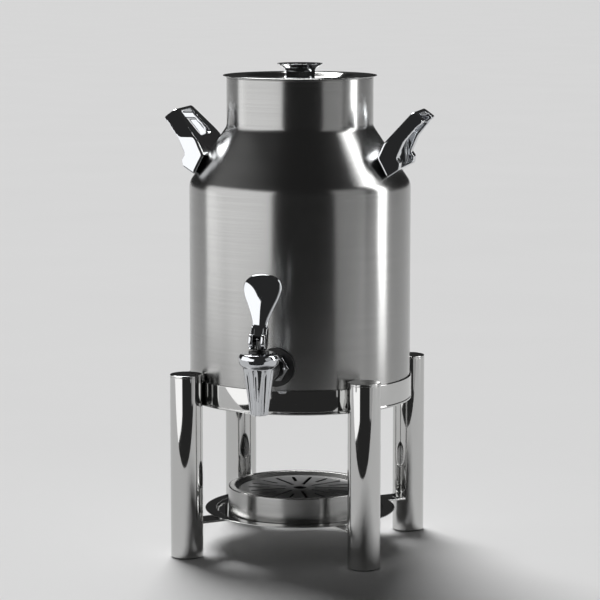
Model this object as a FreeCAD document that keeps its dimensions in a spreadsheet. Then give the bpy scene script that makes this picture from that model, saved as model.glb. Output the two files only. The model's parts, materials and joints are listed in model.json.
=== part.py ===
import FreeCAD, Part
import Sketcher
import math
import os
import re

# A milk-can coffee urn in a tube-legged stand, with a self-closing tap and a drip tray.
# Millimetres. +Z is up, the tap points along -Y, and the origin is on the table under the
# centre of the urn.

doc = FreeCAD.newDocument("coffee_urn")
sheet = doc.addObject("Spreadsheet::Sheet", "sizes")

# Every size that can be set by itself. A length is in mm, an angle in degrees.
SIZES = {
    # Urn: a straight body, a conical shoulder and a straight neck.
    "body_radius": 115.0,
    "neck_radius": 76.0,
    "shell_wall": 1.0,
    "body_height": 223.8,
    "shoulder_height": 58.0,
    "neck_height": 50.0,
    "base_bend": 5.0,
    "shoulder_bend": 16.0,
    "neck_bend": 12.0,
    # Inner tank, hung in the shell with an air gap round it.
    "tank_gap": 6.0,
    "tank_neck_gap": 1.6,
    "tank_floor_gap": 9.0,
    "tank_wall": 1.0,
    "tank_bend": 12.0,
    "lip_height": 1.2,
    "seam_drop": 10.0,
    "seam_rise": 9.0,
    # Pressed base cover.
    "cover_wall": 1.2,
    "cover_rise": 3.5,
    "cover_step_radius": 92.0,
    # Stand: round tube legs round a band, with a turned-in ledge that carries the urn.
    "leg_radius": 16.7,
    "leg_wall": 2.0,
    "leg_height": 191.0,
    "stand_turn": -3.8,
    "cap_height": 2.4,
    "plug_length": 9.0,
    "foot_height": 1.0,
    "foot_inset": 2.2,
    "edge_bend": 0.7,
    "band_height": 25.0,
    "band_wall": 1.3,
    "band_clearance": 0.4,
    "band_drop": 34.0,
    "ledge_width": 16.0,
    "ledge_wall": 2.0,
    "seat_gap": 0.2,
    # Countersunk screws through the band into each leg.
    "screw_radius": 2.5,
    "screw_head_radius": 3.6,
    "screw_length": 9.0,
    # Dish that carries the drip tray, on four flat arms.
    "dish_radius": 100.0,
    "dish_well_radius": 88.0,
    "dish_depth": 3.0,
    "dish_wall": 1.2,
    "dish_top": 38.6,
    "arm_width": 26.0,
    "arm_wall": 2.0,
    "arm_lap": 10.0,
    # Drip tray and its slotted grate.
    "tray_radius": 75.5,
    "tray_height": 26.8,
    "tray_wall": 1.2,
    "tray_rim_width": 6.5,
    "tray_slope_width": 4.5,
    "tray_slope_depth": 5.0,
    "grate_ledge": 3.5,
    "grate_gap": 0.4,
    "grate_wall": 1.2,
    "grate_hole_radius": 7.0,
    "slot_width": 3.6,
    "slot_outer_radius": 54.5,
    "slot_long_start": 15.6,
    "slot_short_start": 32.0,
    # Lid: a spun disc with a dished middle, an inner pan, a seal and a flared knob.
    "lid_radius": 80.0,
    "lid_wall": 1.2,
    "lid_dish_radius": 57.0,
    "lid_dish_depth": 5.0,
    "lid_slope_width": 6.0,
    "plug_clearance": 1.2,
    "lid_pan_depth": 14.0,
    "seal_width": 0.9,
    "seal_height": 3.0,
    "knob_radius": 23.8,
    "knob_waist_radius": 15.9,
    "knob_height": 17.0,
    "knob_lip": 1.4,
    "knob_flare": 9.5,
    # Carrying handles: cast frames that lean outwards from the shoulder.
    "handle_width": 100.0,
    "handle_top_width": 64.0,
    "handle_shoulder_drop": 9.0,
    "window_width": 46.0,
    "window_height": 25.0,
    "window_drop": 10.0,
    "recess_width": 72.0,
    "stud_radius": 2.5,
    "stud_head_radius": 4.2,
    "stud_head_height": 2.4,
    "stud_length": 7.0,
    "stud_gap": 0.3,
    "stud_spacing": 36.0,
    "stud_share": 0.45,
    # Tap.
    "tap_rise": 46.8,
    "tap_reach": 75.0,
    "gasket_radius": 19.8,
    "gasket_wall": 3.0,
    "shank_radius": 10.5,
    "shank_clearance": 0.4,
    "shank_bore_radius": 6.5,
    "shank_end": 22.0,
    "hex_radius": 14.8,
    "hex_width": 9.0,
    "horn_radius": 9.2,
    "head_radius": 20.5,
    "head_rise": 12.0,
    "head_height": 14.4,
    "head_bend": 6.4,
    "spout_top_radius": 15.0,
    "spout_tip_radius": 8.8,
    "spout_drop": 35.6,
    "spout_bore_radius": 6.4,
    "chamber_radius": 10.0,
    "chamber_drop": 11.0,
    "flute_count": 10,
    "flute_radius": 3.4,
    "flute_depth": 1.1,
    "bonnet_radius": 10.2,
    "bonnet_cap_height": 2.0,
    "bonnet_boss_radius": 6.2,
    "bonnet_boss_height": 1.6,
    "bonnet_depth": 9.0,
    "stem_radius": 3.4,
    "stem_clearance": 0.08,
    "cup_radius": 8.8,
    "cup_height": 7.0,
    "nut_radius": 16.0,
    "nut_width": 7.0,
    "washer_radius": 16.5,
    "washer_wall": 2.5,
    "sleeve_wall": 1.5,
    "spring_radius": 5.6,
    "spring_wire": 0.6,
    "spring_turns": 4.0,
    "spring_gap": 0.1,
    # Tap lever: a paddle on a fork that straddles the stem. The fork's ears are round cams that
    # bear on the bonnet, set forward of the pin, so that pulling the paddle lifts the stem.
    "pin_radius": 1.5,
    "pin_clearance": 0.05,
    "eye_wall": 1.2,
    "fork_width": 16.0,
    "fork_slot": 8.4,
    "fork_depth": 12.0,
    "fork_neck_depth": 8.4,
    "cam_radius": 7.0,
    "cam_offset": 5.0,
    "cam_gap": 0.3,
    "arch_height": 5.0,
    "neck_length": 15.5,
    "paddle_lean": 18.0,
    "paddle_length": 53.0,
    "paddle_width": 38.0,
    "paddle_thickness": 9.4,
}

# Sizes that follow from those above.
WORKED = {
    "band_bottom": "leg_height - band_drop",
    "urn_base": "band_bottom + ledge_wall + seat_gap",
    "shoulder_low": "urn_base + body_height",
    "shoulder_high": "shoulder_low + shoulder_height",
    "neck_top": "shoulder_high + neck_height",
    "shell_inner": "body_radius - shell_wall",
    "tank_radius": "shell_inner - tank_gap",
    "tank_inner": "tank_radius - tank_wall",
    "tank_neck_radius": "neck_radius - shell_wall - tank_neck_gap",
    "tank_neck_inner": "tank_neck_radius - tank_wall",
    "tank_bottom": "urn_base + tank_floor_gap",
    "shoulder_run": "body_radius - neck_radius",
    "shoulder_slope": "sqrt(shoulder_run ^ 2 + shoulder_height ^ 2)",
    "shoulder_shift": "(shoulder_slope - shoulder_height) / shoulder_run",
    "tank_inset": "shell_wall + tank_gap",
    "tank_shoulder_low": "shoulder_low - tank_inset * shoulder_shift",
    "tank_shoulder_high": "tank_shoulder_low + (tank_radius - tank_neck_radius) * shoulder_height / shoulder_run",
    "mouth_top": "neck_top + lip_height",
    "low_seam": "shoulder_low - seam_drop",
    "high_seam": "shoulder_high + seam_rise",
    "cover_radius": "body_radius - base_bend - 2",
    "band_inner": "body_radius + band_clearance",
    "band_outer": "band_inner + band_wall",
    "band_top": "band_bottom + band_height",
    "leg_circle": "band_outer + leg_radius",
    "leg_bore": "leg_radius - leg_wall",
    "screw_height": "band_bottom + ledge_wall + (band_height - ledge_wall) / 2",
    "dish_floor": "dish_top - dish_depth",
    "arm_top": "dish_top - dish_wall",
    "tray_bottom": "dish_floor + seat_gap",
    "tray_top": "tray_bottom + tray_height",
    "tray_rim_inner": "tray_radius - tray_rim_width",
    "tray_seat_radius": "tray_rim_inner - tray_slope_width",
    "tray_seat": "tray_top - tray_slope_depth",
    "grate_radius": "tray_seat_radius - tray_wall - grate_gap",
    "grate_bottom": "tray_seat + seat_gap",
    "lid_bottom": "mouth_top + seat_gap",
    "lid_top": "lid_bottom + lid_wall",
    "lid_floor": "lid_top - lid_dish_depth",
    "plug_radius": "tank_neck_inner - plug_clearance",
    "handle_side_height": "shoulder_high - handle_shoulder_drop",
    "window_bottom": "shoulder_high - window_drop",
    "window_top": "window_bottom + window_height",
    "stud_height": "shoulder_low + shoulder_height * stud_share",
    "tap_height": "urn_base + tap_rise",
    "head_bottom": "tap_height + head_rise",
    "head_top": "head_bottom + head_height",
    "spout_tip": "tap_height - spout_drop",
    "chamber_bottom": "tap_height - chamber_drop",
    "tap_face": "body_radius + gasket_wall",
    "tap_axis": "body_radius + tap_reach",
    "hex_front": "tap_face + hex_width",
    "bonnet_bottom": "head_top - bonnet_depth",
    "bonnet_top": "head_top + bonnet_cap_height + bonnet_boss_height",
    "cup_bottom": "chamber_bottom + seat_gap",
    "cup_top": "cup_bottom + cup_height",
    "pivot_height": "bonnet_top + cam_gap + cam_radius - cam_offset * sin(paddle_lean)",
}

for row, (word, value) in enumerate(SIZES.items(), start=1):
    sheet.set(f"A{row}", word)
    sheet.set(f"B{row}", str(value))
    sheet.setAlias(f"B{row}", word)
for row, (word, rule) in enumerate(WORKED.items(), start=1):
    sheet.set(f"D{row}", word)
    sheet.set(f"E{row}", "=" + rule)
    sheet.setAlias(f"E{row}", word)
doc.recompute()

WORDS = re.compile(r"[a-z][a-z_]*")


def bound(rule):
    """The same rule with the sheet's name before each of its words."""
    return WORDS.sub(lambda word: "sizes." + word.group(), rule)


def size(rule):
    """The value of a rule, worked out from the sheet."""
    plain = WORDS.sub(lambda word: f"({float(sheet.get(word.group()))!r})", rule)
    return FreeCAD.Units.Quantity(plain).Value


def bind(thing, **rules):
    """Tie properties of a document object to rules of the sheet."""
    for name, rule in rules.items():
        thing.setExpression(name, bound(rule))


def plane(body, role):
    """One of a body's own origin planes, by its role."""
    return next(item for item in body.Origin.OriginFeatures if item.Role == role)


def new_sketch(body, name, role, height=None):
    """A sketch on an origin plane of its body, raised by a rule where one is given."""
    sketch = body.newObject("Sketcher::SketchObject", name)
    sketch.AttachmentSupport = [(plane(body, role), "")]
    sketch.MapMode = "FlatFace"
    if height:
        bind(sketch, **{"AttachmentOffset.Base.z": height})
    return sketch


def place(sketch, geometry, point, x_rule, y_rule):
    """Fix a sketch point by its two distances from the sketch's origin."""
    for kind, rule in (("DistanceX", x_rule), ("DistanceY", y_rule)):
        number = sketch.addConstraint(Sketcher.Constraint(kind, -1, 1, geometry, point, size(rule)))
        sketch.setExpression(f"Constraints[{number}]", bound(rule))


def bend_arc(before, here, after, radius):
    """The arc that rounds a corner, its two ends, and whether it runs with the outline."""
    back, on = (before - here).normalize(), (after - here).normalize()
    half = back.getAngle(on) / 2
    middle = here + (back + on).normalize() * (radius / math.sin(half))
    run = radius / math.tan(half)
    first, last = here + back * run, here + on * run
    forward = back.cross(on).z < 0
    start, end = (first, last) if forward else (last, first)
    angles = [math.atan2(point.y - middle.y, point.x - middle.x) for point in (start, end)]
    circle_there = Part.Circle(middle, FreeCAD.Vector(0, 0, 1), radius)
    return Part.ArcOfCircle(circle_there, angles[0], angles[1]), first, last, forward


def outline(sketch, corners):
    """A closed outline. Each corner is (x rule, y rule) or (x rule, y rule, bend radius rule)."""
    at = [FreeCAD.Vector(size(corner[0]), size(corner[1]), 0) for corner in corners]
    count = len(corners)
    leave, reach, arcs = list(at), list(at), {}
    for i, corner in enumerate(corners):
        if len(corner) > 2:
            arc, reach[i], leave[i], forward = bend_arc(at[i - 1], at[i], at[(i + 1) % count], size(corner[2]))
            arcs[i] = (arc, forward)
    lines = [sketch.addGeometry(Part.LineSegment(leave[i], reach[(i + 1) % count])) for i in range(count)]
    for i, corner in enumerate(corners):
        into, out = lines[i - 1], lines[i]
        if i not in arcs:
            sketch.addConstraint(Sketcher.Constraint("Coincident", into, 2, out, 1))
            place(sketch, out, 1, corner[0], corner[1])
            continue
        arc, forward = arcs[i]
        bend = sketch.addGeometry(arc)
        sharp = sketch.addGeometry(Part.Point(at[i]), True)
        place(sketch, sharp, 1, corner[0], corner[1])
        sketch.addConstraint(Sketcher.Constraint("PointOnObject", sharp, 1, into))
        sketch.addConstraint(Sketcher.Constraint("PointOnObject", sharp, 1, out))
        sketch.addConstraint(Sketcher.Constraint("Tangent", into, 2, bend, 1 if forward else 2))
        sketch.addConstraint(Sketcher.Constraint("Tangent", out, 1, bend, 2 if forward else 1))
        number = sketch.addConstraint(Sketcher.Constraint("Radius", bend, size(corner[2])))
        sketch.setExpression(f"Constraints[{number}]", bound(corner[2]))


def circle(sketch, radius, x_rule="0", y_rule="0"):
    """A circle whose radius and centre follow rules."""
    centre = FreeCAD.Vector(size(x_rule), size(y_rule), 0)
    ring = sketch.addGeometry(Part.Circle(centre, FreeCAD.Vector(0, 0, 1), size(radius)))
    number = sketch.addConstraint(Sketcher.Constraint("Radius", ring, size(radius)))
    sketch.setExpression(f"Constraints[{number}]", bound(radius))
    place(sketch, ring, 3, x_rule, y_rule)


def new_body(label):
    body = doc.addObject("PartDesign::Body", label)
    body.Label = label
    return body


def revolve(body, name, corners, cut=False):
    """Turn an outline of (radius, height) corners about the body's Z axis."""
    sketch = new_sketch(body, name + "_outline", "XZ_Plane")
    outline(sketch, corners)
    feature = body.newObject("PartDesign::Groove" if cut else "PartDesign::Revolution", name)
    feature.Profile = sketch
    feature.ReferenceAxis = (sketch, ["V_Axis"])
    feature.Angle = 360
    body.Tip = feature
    return feature


def pad(body, sketch, name, length, both_ways=False, back=False):
    """Pad a sketch by a rule, away from its plane or to both sides of it."""
    feature = body.newObject("PartDesign::Pad", name)
    feature.Profile = sketch
    feature.Midplane = both_ways
    feature.Reversed = back
    bind(feature, Length=length)
    body.Tip = feature
    return feature


def pocket(body, sketch, name, length, both_ways=False, back=False):
    """Cut a sketch out of its body by a rule, against its plane's normal unless turned back."""
    feature = body.newObject("PartDesign::Pocket", name)
    feature.Profile = sketch
    feature.Midplane = both_ways
    feature.Reversed = back
    bind(feature, Length=length)
    body.Tip = feature
    return feature


def pattern(body, feature, name, count):
    """Repeat a feature evenly round the body's Z axis."""
    ring = body.newObject("PartDesign::PolarPattern", name)
    ring.Originals = [feature]
    ring.Axis = (new_sketch(body, name + "_axis", "XY_Plane"), ["N_Axis"])
    ring.Angle = 360
    ring.Occurrences = count
    body.Tip = ring
    return ring


def cut(label, base, *tools):
    """A piece less one or more others, under its own name."""
    piece = base
    for number, tool in enumerate(tools, start=1):
        last = number == len(tools)
        result = doc.addObject("Part::Cut", label if last else f"{label}_cut_{number}")
        result.Base = piece
        result.Tool = tool
        result.Refine = True
        piece = result
    return piece


def group(label, pieces):
    """Separate solids that share one node."""
    result = doc.addObject("Part::Compound", label)
    result.Links = pieces
    return result


def fuse(label, pieces):
    result = doc.addObject("Part::MultiFuse", label)
    result.Shapes = pieces
    result.Refine = True
    return result


def rod(label, radius, length, start, direction):
    """A cylinder from a point along a direction."""
    result = doc.addObject("Part::Cylinder", label)
    bind(result, Radius=radius, Height=length)
    result.Placement = FreeCAD.Placement(start, FreeCAD.Rotation(FreeCAD.Vector(0, 0, 1), direction))
    return result


def taper(label, near_radius, far_radius, length, start, direction):
    """A cone from a point along a direction."""
    result = doc.addObject("Part::Cone", label)
    bind(result, Radius1=near_radius, Radius2=far_radius, Height=length)
    result.Placement = FreeCAD.Placement(start, FreeCAD.Rotation(FreeCAD.Vector(0, 0, 1), direction))
    return result


NODES = []


def keep(piece):
    """Add a finished piece to the hand-in."""
    piece.Label = piece.Name
    NODES.append(piece)
    return piece


LEGS = {"front_right": -45.0, "front_left": -135.0, "back_left": 135.0, "back_right": 45.0}


def leg_angle(corner):
    return LEGS[corner] + size("stand_turn")


def spun_to(piece, angle):
    """Turn a piece that was built facing +X to an angle about the Z axis."""
    piece.Placement = FreeCAD.Placement(FreeCAD.Vector(0, 0, 0), FreeCAD.Rotation(FreeCAD.Vector(0, 0, 1), angle))
    return piece


def ring_screws():
    """A countersunk screw from inside the band into each leg."""
    screws = []
    for corner in LEGS:
        turn = math.radians(leg_angle(corner))
        outward = FreeCAD.Vector(math.cos(turn), math.sin(turn), 0)
        start = outward * size("band_inner + seat_gap") + FreeCAD.Vector(0, 0, size("screw_height"))
        head = taper(f"screw_head_{corner}", "screw_head_radius", "screw_radius",
                     "band_wall - seat_gap", start, outward)
        shank = rod(f"screw_shank_{corner}", "screw_radius", "screw_length", start, outward)
        screws.append(fuse(f"screw_{corner}", [head, shank]))
    return group("ring_screws", screws)


def leg(corner, screws):
    """One tube leg, drilled for its screw."""
    tube = new_body(f"tube_{corner}")
    sketch = new_sketch(tube, "tube_ring", "XY_Plane", "foot_height")
    circle(sketch, "leg_radius", "leg_circle", "0")
    circle(sketch, "leg_bore", "leg_circle", "0")
    pad(tube, sketch, "tube_pad", "leg_height - cap_height - foot_height")
    spun_to(tube, leg_angle(corner))
    return cut(f"leg_{corner}", tube, screws)


def leg_ends(label, corners, top):
    """A turned plug for each leg: a flat disc with a spigot that fits the tube."""
    pieces = []
    for corner in LEGS:
        turned = new_body(f"{label}_{corner}")
        revolve(turned, "plug", corners)
        turn = math.radians(leg_angle(corner))
        reach = size("leg_circle")
        turned.Placement = FreeCAD.Placement(
            FreeCAD.Vector(reach * math.cos(turn), reach * math.sin(turn), size(top)),
            FreeCAD.Rotation())
        pieces.append(turned)
    return group(label, pieces)


def leg_caps():
    """Flat-topped caps that close the tubes."""
    return leg_ends("leg_caps", [
        ("0", "0 - plug_length"), ("leg_bore", "0 - plug_length"), ("leg_bore", "0"),
        ("leg_radius", "0"), ("leg_radius", "cap_height", "edge_bend"), ("0", "cap_height")],
        "leg_height - cap_height")


def leg_feet():
    """Plastic glides that plug the tubes and touch the table."""
    return leg_ends("leg_feet", [
        ("0", "0 - foot_height"), ("leg_radius - foot_inset", "0 - foot_height"),
        ("leg_radius - foot_inset / 2", "0"), ("leg_bore", "0"),
        ("leg_bore", "plug_length"), ("0", "plug_length")],
        "foot_height")


def support_ring(screws):
    """The band round the foot of the urn."""
    band = new_body("band")
    revolve(band, "band_turn", [
        ("band_inner", "band_bottom"), ("band_outer", "band_bottom"),
        ("band_outer", "band_top"), ("band_inner", "band_top")])
    return cut("support_ring", band, screws)


def support_ledge():
    """The flat ring in the foot of the band that carries the urn."""
    ledge = new_body("support_ledge")
    revolve(ledge, "ledge_turn", [
        ("band_inner - ledge_width", "band_bottom"), ("band_inner", "band_bottom"),
        ("band_inner", "band_bottom + ledge_wall"),
        ("band_inner - ledge_width", "band_bottom + ledge_wall")])
    return ledge


def tray_dish():
    """A shallow spun dish that the drip tray stands in."""
    dish = new_body("tray_dish")
    revolve(dish, "dish_turn", [
        ("0", "dish_floor - dish_wall"),
        ("dish_well_radius", "dish_floor - dish_wall", "dish_depth * 0.6 + dish_wall"),
        ("dish_well_radius + dish_wall", "arm_top"),
        ("dish_radius", "arm_top"), ("dish_radius", "dish_top"),
        ("dish_well_radius", "dish_top"),
        ("dish_well_radius - dish_wall", "dish_floor", "dish_depth * 0.6"),
        ("0", "dish_floor")])
    return dish


def dish_arm(corner):
    """A flat arm from under the dish's flange to a leg, cut to the tube."""
    arm = new_body(f"dish_arm_{corner}")
    sketch = new_sketch(arm, "arm_plan", "XY_Plane", "arm_top - arm_wall")
    outline(sketch, [
        ("dish_radius - arm_lap", "0 - arm_width / 2"), ("leg_circle", "0 - arm_width / 2"),
        ("leg_circle", "arm_width / 2"), ("dish_radius - arm_lap", "arm_width / 2")])
    pad(arm, sketch, "arm_pad", "arm_wall")
    socket = new_sketch(arm, "arm_socket", "XY_Plane", "arm_top")
    circle(socket, "leg_radius", "leg_circle", "0")
    pocket(arm, socket, "arm_end", "arm_wall")
    return spun_to(arm, leg_angle(corner))


def drip_tray():
    """A spun tray: outer wall, flat rim, and a slope in to the ledge under the grate."""
    tray = new_body("drip_tray")
    revolve(tray, "tray_turn", [
        ("0", "tray_bottom"), ("tray_radius", "tray_bottom", "tray_wall"),
        ("tray_radius", "tray_top", "tray_wall"), ("tray_rim_inner", "tray_top"),
        ("tray_seat_radius", "tray_seat"),
        ("tray_seat_radius - grate_ledge - tray_wall", "tray_seat"),
        ("tray_seat_radius - grate_ledge - tray_wall", "tray_seat - tray_wall"),
        ("tray_seat_radius", "tray_seat - tray_wall"),
        ("tray_rim_inner", "tray_top - tray_wall"),
        ("tray_radius - tray_wall", "tray_top - tray_wall"),
        ("tray_radius - tray_wall", "tray_bottom + tray_wall"), ("0", "tray_bottom + tray_wall")])
    return tray


def drip_grate():
    """A flat disc with a finger hole and radial slots, long and short by turns."""
    grate = new_body("drip_grate")
    sketch = new_sketch(grate, "grate_plan", "XY_Plane", "grate_bottom")
    circle(sketch, "grate_radius")
    circle(sketch, "grate_hole_radius")
    pad(grate, sketch, "grate_pad", "grate_wall")
    pairs = 9
    for name, start, first in (("long_slot", "slot_long_start", 90.0),
                               ("short_slot", "slot_short_start", 70.0)):
        plan = new_sketch(grate, name + "_plan", "XY_Plane")
        plan.AttachmentOffset = FreeCAD.Placement(
            FreeCAD.Vector(0, 0, 0), FreeCAD.Rotation(FreeCAD.Vector(0, 0, 1), first))
        bind(plan, **{"AttachmentOffset.Base.z": "grate_bottom + grate_wall"})
        half = "slot_width / 2"
        outline(plan, [(start, "0 - " + half), ("slot_outer_radius", "0 - " + half, half + " * 0.9"),
                       ("slot_outer_radius", half, half + " * 0.9"), (start, half)])
        one = pocket(grate, plan, name, "grate_wall * 2")
        pattern(grate, one, name + "_ring", pairs)
    return grate


def tap_hole(body):
    """Drill a can's front wall for the tap's shank."""
    hole = new_sketch(body, "tap_hole", "XZ_Plane")
    circle(hole, "shank_radius + shank_clearance", "0", "tap_height")
    pocket(body, hole, "tap_hole_cut", "body_radius * 1.2", back=True)


def shell_body():
    """The straight wall of the can that shows, turned in at the foot."""
    can = new_body("shell_body")
    revolve(can, "can_turn", [
        ("cover_radius", "urn_base"), ("body_radius", "urn_base", "base_bend"),
        ("body_radius", "low_seam"), ("shell_inner", "low_seam"),
        ("shell_inner", "urn_base + shell_wall", "base_bend - shell_wall"),
        ("cover_radius", "urn_base + shell_wall")])
    tap_hole(can)
    return can


def shell_shoulder(studs):
    """The spun cone between the wall and the neck, with a bend at each end."""
    cone = new_body("cone")
    neck_inner = "neck_radius - shell_wall"
    revolve(cone, "cone_turn", [
        ("body_radius", "low_seam"), ("body_radius", "shoulder_low", "shoulder_bend"),
        ("neck_radius", "shoulder_high", "neck_bend"), ("neck_radius", "high_seam"),
        (neck_inner, "high_seam"),
        (neck_inner, "shoulder_high - shell_wall * shoulder_shift", "neck_bend + shell_wall"),
        ("shell_inner", "shoulder_low - shell_wall * shoulder_shift", "shoulder_bend - shell_wall"),
        ("shell_inner", "low_seam")])
    return cut("shell_shoulder", cone, studs)


def plain_ring(label, inner, outer, low, high):
    """A straight turned wall between two radii and two heights."""
    ring = new_body(label)
    revolve(ring, label + "_turn", [(inner, low), (outer, low), (outer, high), (inner, high)])
    return ring


def shell_neck():
    """The straight neck of the can."""
    return plain_ring("shell_neck", "neck_radius - shell_wall", "neck_radius", "high_seam", "neck_top")


def tank_body():
    """The tank that holds the coffee: its floor and straight wall."""
    tank = new_body("tank_body")
    revolve(tank, "tank_turn", [
        ("0", "tank_bottom"), ("tank_radius", "tank_bottom", "tank_bend"),
        ("tank_radius", "low_seam"), ("tank_inner", "low_seam"),
        ("tank_inner", "tank_bottom + tank_wall", "tank_bend - tank_wall"),
        ("0", "tank_bottom + tank_wall")])
    tap_hole(tank)
    return tank


def tank_shoulder():
    """The tank's own cone, inside the can's."""
    cone = new_body("tank_shoulder")
    inner_low = "tank_shoulder_low - tank_wall * shoulder_shift"
    inner_high = "tank_shoulder_high - tank_wall * shoulder_shift"
    revolve(cone, "tank_cone_turn", [
        ("tank_radius", "low_seam"), ("tank_radius", "tank_shoulder_low", "shoulder_bend - tank_inset"),
        ("tank_neck_radius", "tank_shoulder_high", "neck_bend"), ("tank_neck_radius", "high_seam"),
        ("tank_neck_inner", "high_seam"), ("tank_neck_inner", inner_high, "neck_bend + tank_wall"),
        ("tank_inner", inner_low, "shoulder_bend - tank_inset - tank_wall"), ("tank_inner", "low_seam")])
    return cone


def tank_neck():
    """The tank's neck, with a lip that caps the can's."""
    neck = new_body("tank_neck")
    revolve(neck, "tank_neck_turn", [
        ("tank_neck_inner", "high_seam"), ("tank_neck_radius", "high_seam"),
        ("tank_neck_radius", "neck_top"), ("neck_radius", "neck_top"),
        ("neck_radius", "mouth_top"), ("tank_neck_inner", "mouth_top")])
    return neck


def base_cover():
    """A pressed disc, raised in the middle, that closes the shell below."""
    cover = new_body("base_cover")
    revolve(cover, "cover_turn", [
        ("0", "urn_base + cover_rise"), ("cover_step_radius - cover_wall", "urn_base + cover_rise"),
        ("cover_step_radius - cover_wall", "urn_base"), ("cover_radius", "urn_base"),
        ("cover_radius", "urn_base + cover_wall"), ("cover_step_radius", "urn_base + cover_wall"),
        ("cover_step_radius", "urn_base + cover_rise + cover_wall"),
        ("0", "urn_base + cover_rise + cover_wall")])
    return cover


# Side view of a handle, from the top of its inner edge round to the foot, each corner as
# (distance out from the body's radius, height above the shoulder's top, radius of its bend).
HANDLE_SIDE = [
    (9.5, 18.6, 2.5), (21.2, 8.8, 2.0), (14.5, 3.2, 3.0), (2.5, -11.5, 20.0), (-4.5, -27.8, 2.5),
    (-1.0, -33.0, 2.5), (-2.2, -40.2, 3.0), (-14.4, -48.4, 1.5), (-24.7, -28.1, 3.0), (-17.8, -13.0, 14.0),
]


# Side view of the hollow in the handle's outer face, in the same measures.
HANDLE_RECESS = [(45.0, 4.0), (3.5, 4.0), (-10.5, -12.0), (-9.0, -38.0), (45.0, -38.0)]


def bend_edges(body, name, bends):
    """Round the edges that run along Y at given (x, z) places, one fillet for each radius."""
    for number, radius in enumerate(sorted({bend for _, _, bend in bends}, reverse=True), start=1):
        doc.recompute()
        base = body.Tip
        picked = []
        for index, edge in enumerate(base.Shape.Edges, start=1):
            ends = [vertex.Point for vertex in edge.Vertexes]
            for x, z, bend in bends:
                along = all(abs(end.x - x) < 0.01 and abs(end.z - z) < 0.01 for end in ends)
                if bend == radius and along:
                    picked.append(f"Edge{index}")
        fillet = body.newObject("PartDesign::Fillet", f"{name}_{number}")
        fillet.Base = (base, picked)
        fillet.Radius = radius
        body.Tip = fillet


def handle_right(studs):
    """A cast frame that leans out from the shoulder, with a window for the fingers."""
    casting = new_body("handle_casting")
    side = new_sketch(casting, "handle_side", "XZ_Plane")
    outline(side, [(f"body_radius + {x}", f"shoulder_high + {z}") for x, z, _ in HANDLE_SIDE])
    pad(casting, side, "handle_pad", "handle_width", both_ways=True)
    bend_edges(casting, "handle_bend", [
        (size("body_radius") + x, size("shoulder_high") + z, bend) for x, z, bend in HANDLE_SIDE])
    front = new_sketch(casting, "handle_front", "YZ_Plane")
    edge, top, far = "handle_width / 2", "handle_top_width / 2", "handle_width"
    high, above, below = "shoulder_high + 18.6", "shoulder_high + 60", "shoulder_low - 40"
    outline(front, [(edge, "handle_side_height", "20"), (top, high, "8"), ("0", high),
                    ("0", above), (far, above), (far, below), (edge, below)])
    taper_cut = pocket(casting, front, "handle_taper", "body_radius * 2", back=True)
    mirror = casting.newObject("PartDesign::Mirrored", "handle_taper_pair")
    mirror.Originals = [taper_cut]
    mirror.MirrorPlane = (plane(casting, "XZ_Plane"), [""])
    casting.Tip = mirror
    window = new_sketch(casting, "handle_window", "YZ_Plane")
    half = "window_width / 2"
    outline(window, [("0 - " + half, "window_bottom", "4"), (half, "window_bottom", "4"),
                     (half + " - 1.5", "window_top", "5"), ("1.5 - " + half, "window_top", "5")])
    pocket(casting, window, "handle_window_cut", "body_radius * 2", back=True)
    recess = new_sketch(casting, "handle_recess", "XZ_Plane")
    outline(recess, [(f"body_radius + {x}", f"shoulder_high + {z}") for x, z in HANDLE_RECESS])
    pocket(casting, recess, "handle_recess_cut", "recess_width", both_ways=True)
    revolve(casting, "handle_saddle", [
        ("0", "shoulder_low - 60"), ("body_radius", "shoulder_low - 60"),
        ("body_radius", "shoulder_low", "shoulder_bend"),
        ("neck_radius", "shoulder_high", "neck_bend"),
        ("neck_radius", "neck_top"), ("0", "neck_top")], cut=True)
    return cut("handle_right", casting, studs)


def handle_left(right):
    twin = doc.addObject("Part::Mirroring", "handle_left")
    twin.Source = right
    twin.Base = FreeCAD.Vector(0, 0, 0)
    twin.Normal = FreeCAD.Vector(1, 0, 0)
    return twin


def handle_studs():
    """Screws from inside the shell, square to the shoulder, two for each handle."""
    rise, run = size("shoulder_height"), size("body_radius - neck_radius")
    slope = math.hypot(rise, run)
    share = (size("stud_height") - size("shoulder_low")) / rise
    radius = size("body_radius") - run * share
    spread = math.asin(size("stud_spacing / 2") / radius)
    screws = []
    for side, middle in (("right", 0.0), ("left", math.pi)):
        for name, swing in (("front", -spread), ("back", spread)):
            turn = middle + swing
            out = FreeCAD.Vector(math.cos(turn) * rise / slope, math.sin(turn) * rise / slope, run / slope)
            skin = FreeCAD.Vector(radius * math.cos(turn), radius * math.sin(turn), size("stud_height"))
            inside = skin - out * size("shell_wall + stud_gap")
            head = rod(f"stud_head_{side}_{name}", "stud_head_radius", "stud_head_height",
                       inside - out * size("stud_head_height"), out)
            shank = rod(f"stud_shank_{side}_{name}", "stud_radius", "shell_wall + stud_gap + stud_length",
                        inside, out)
            screws.append(fuse(f"stud_{side}_{name}", [head, shank]))
    return group("handle_screws", screws)


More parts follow.
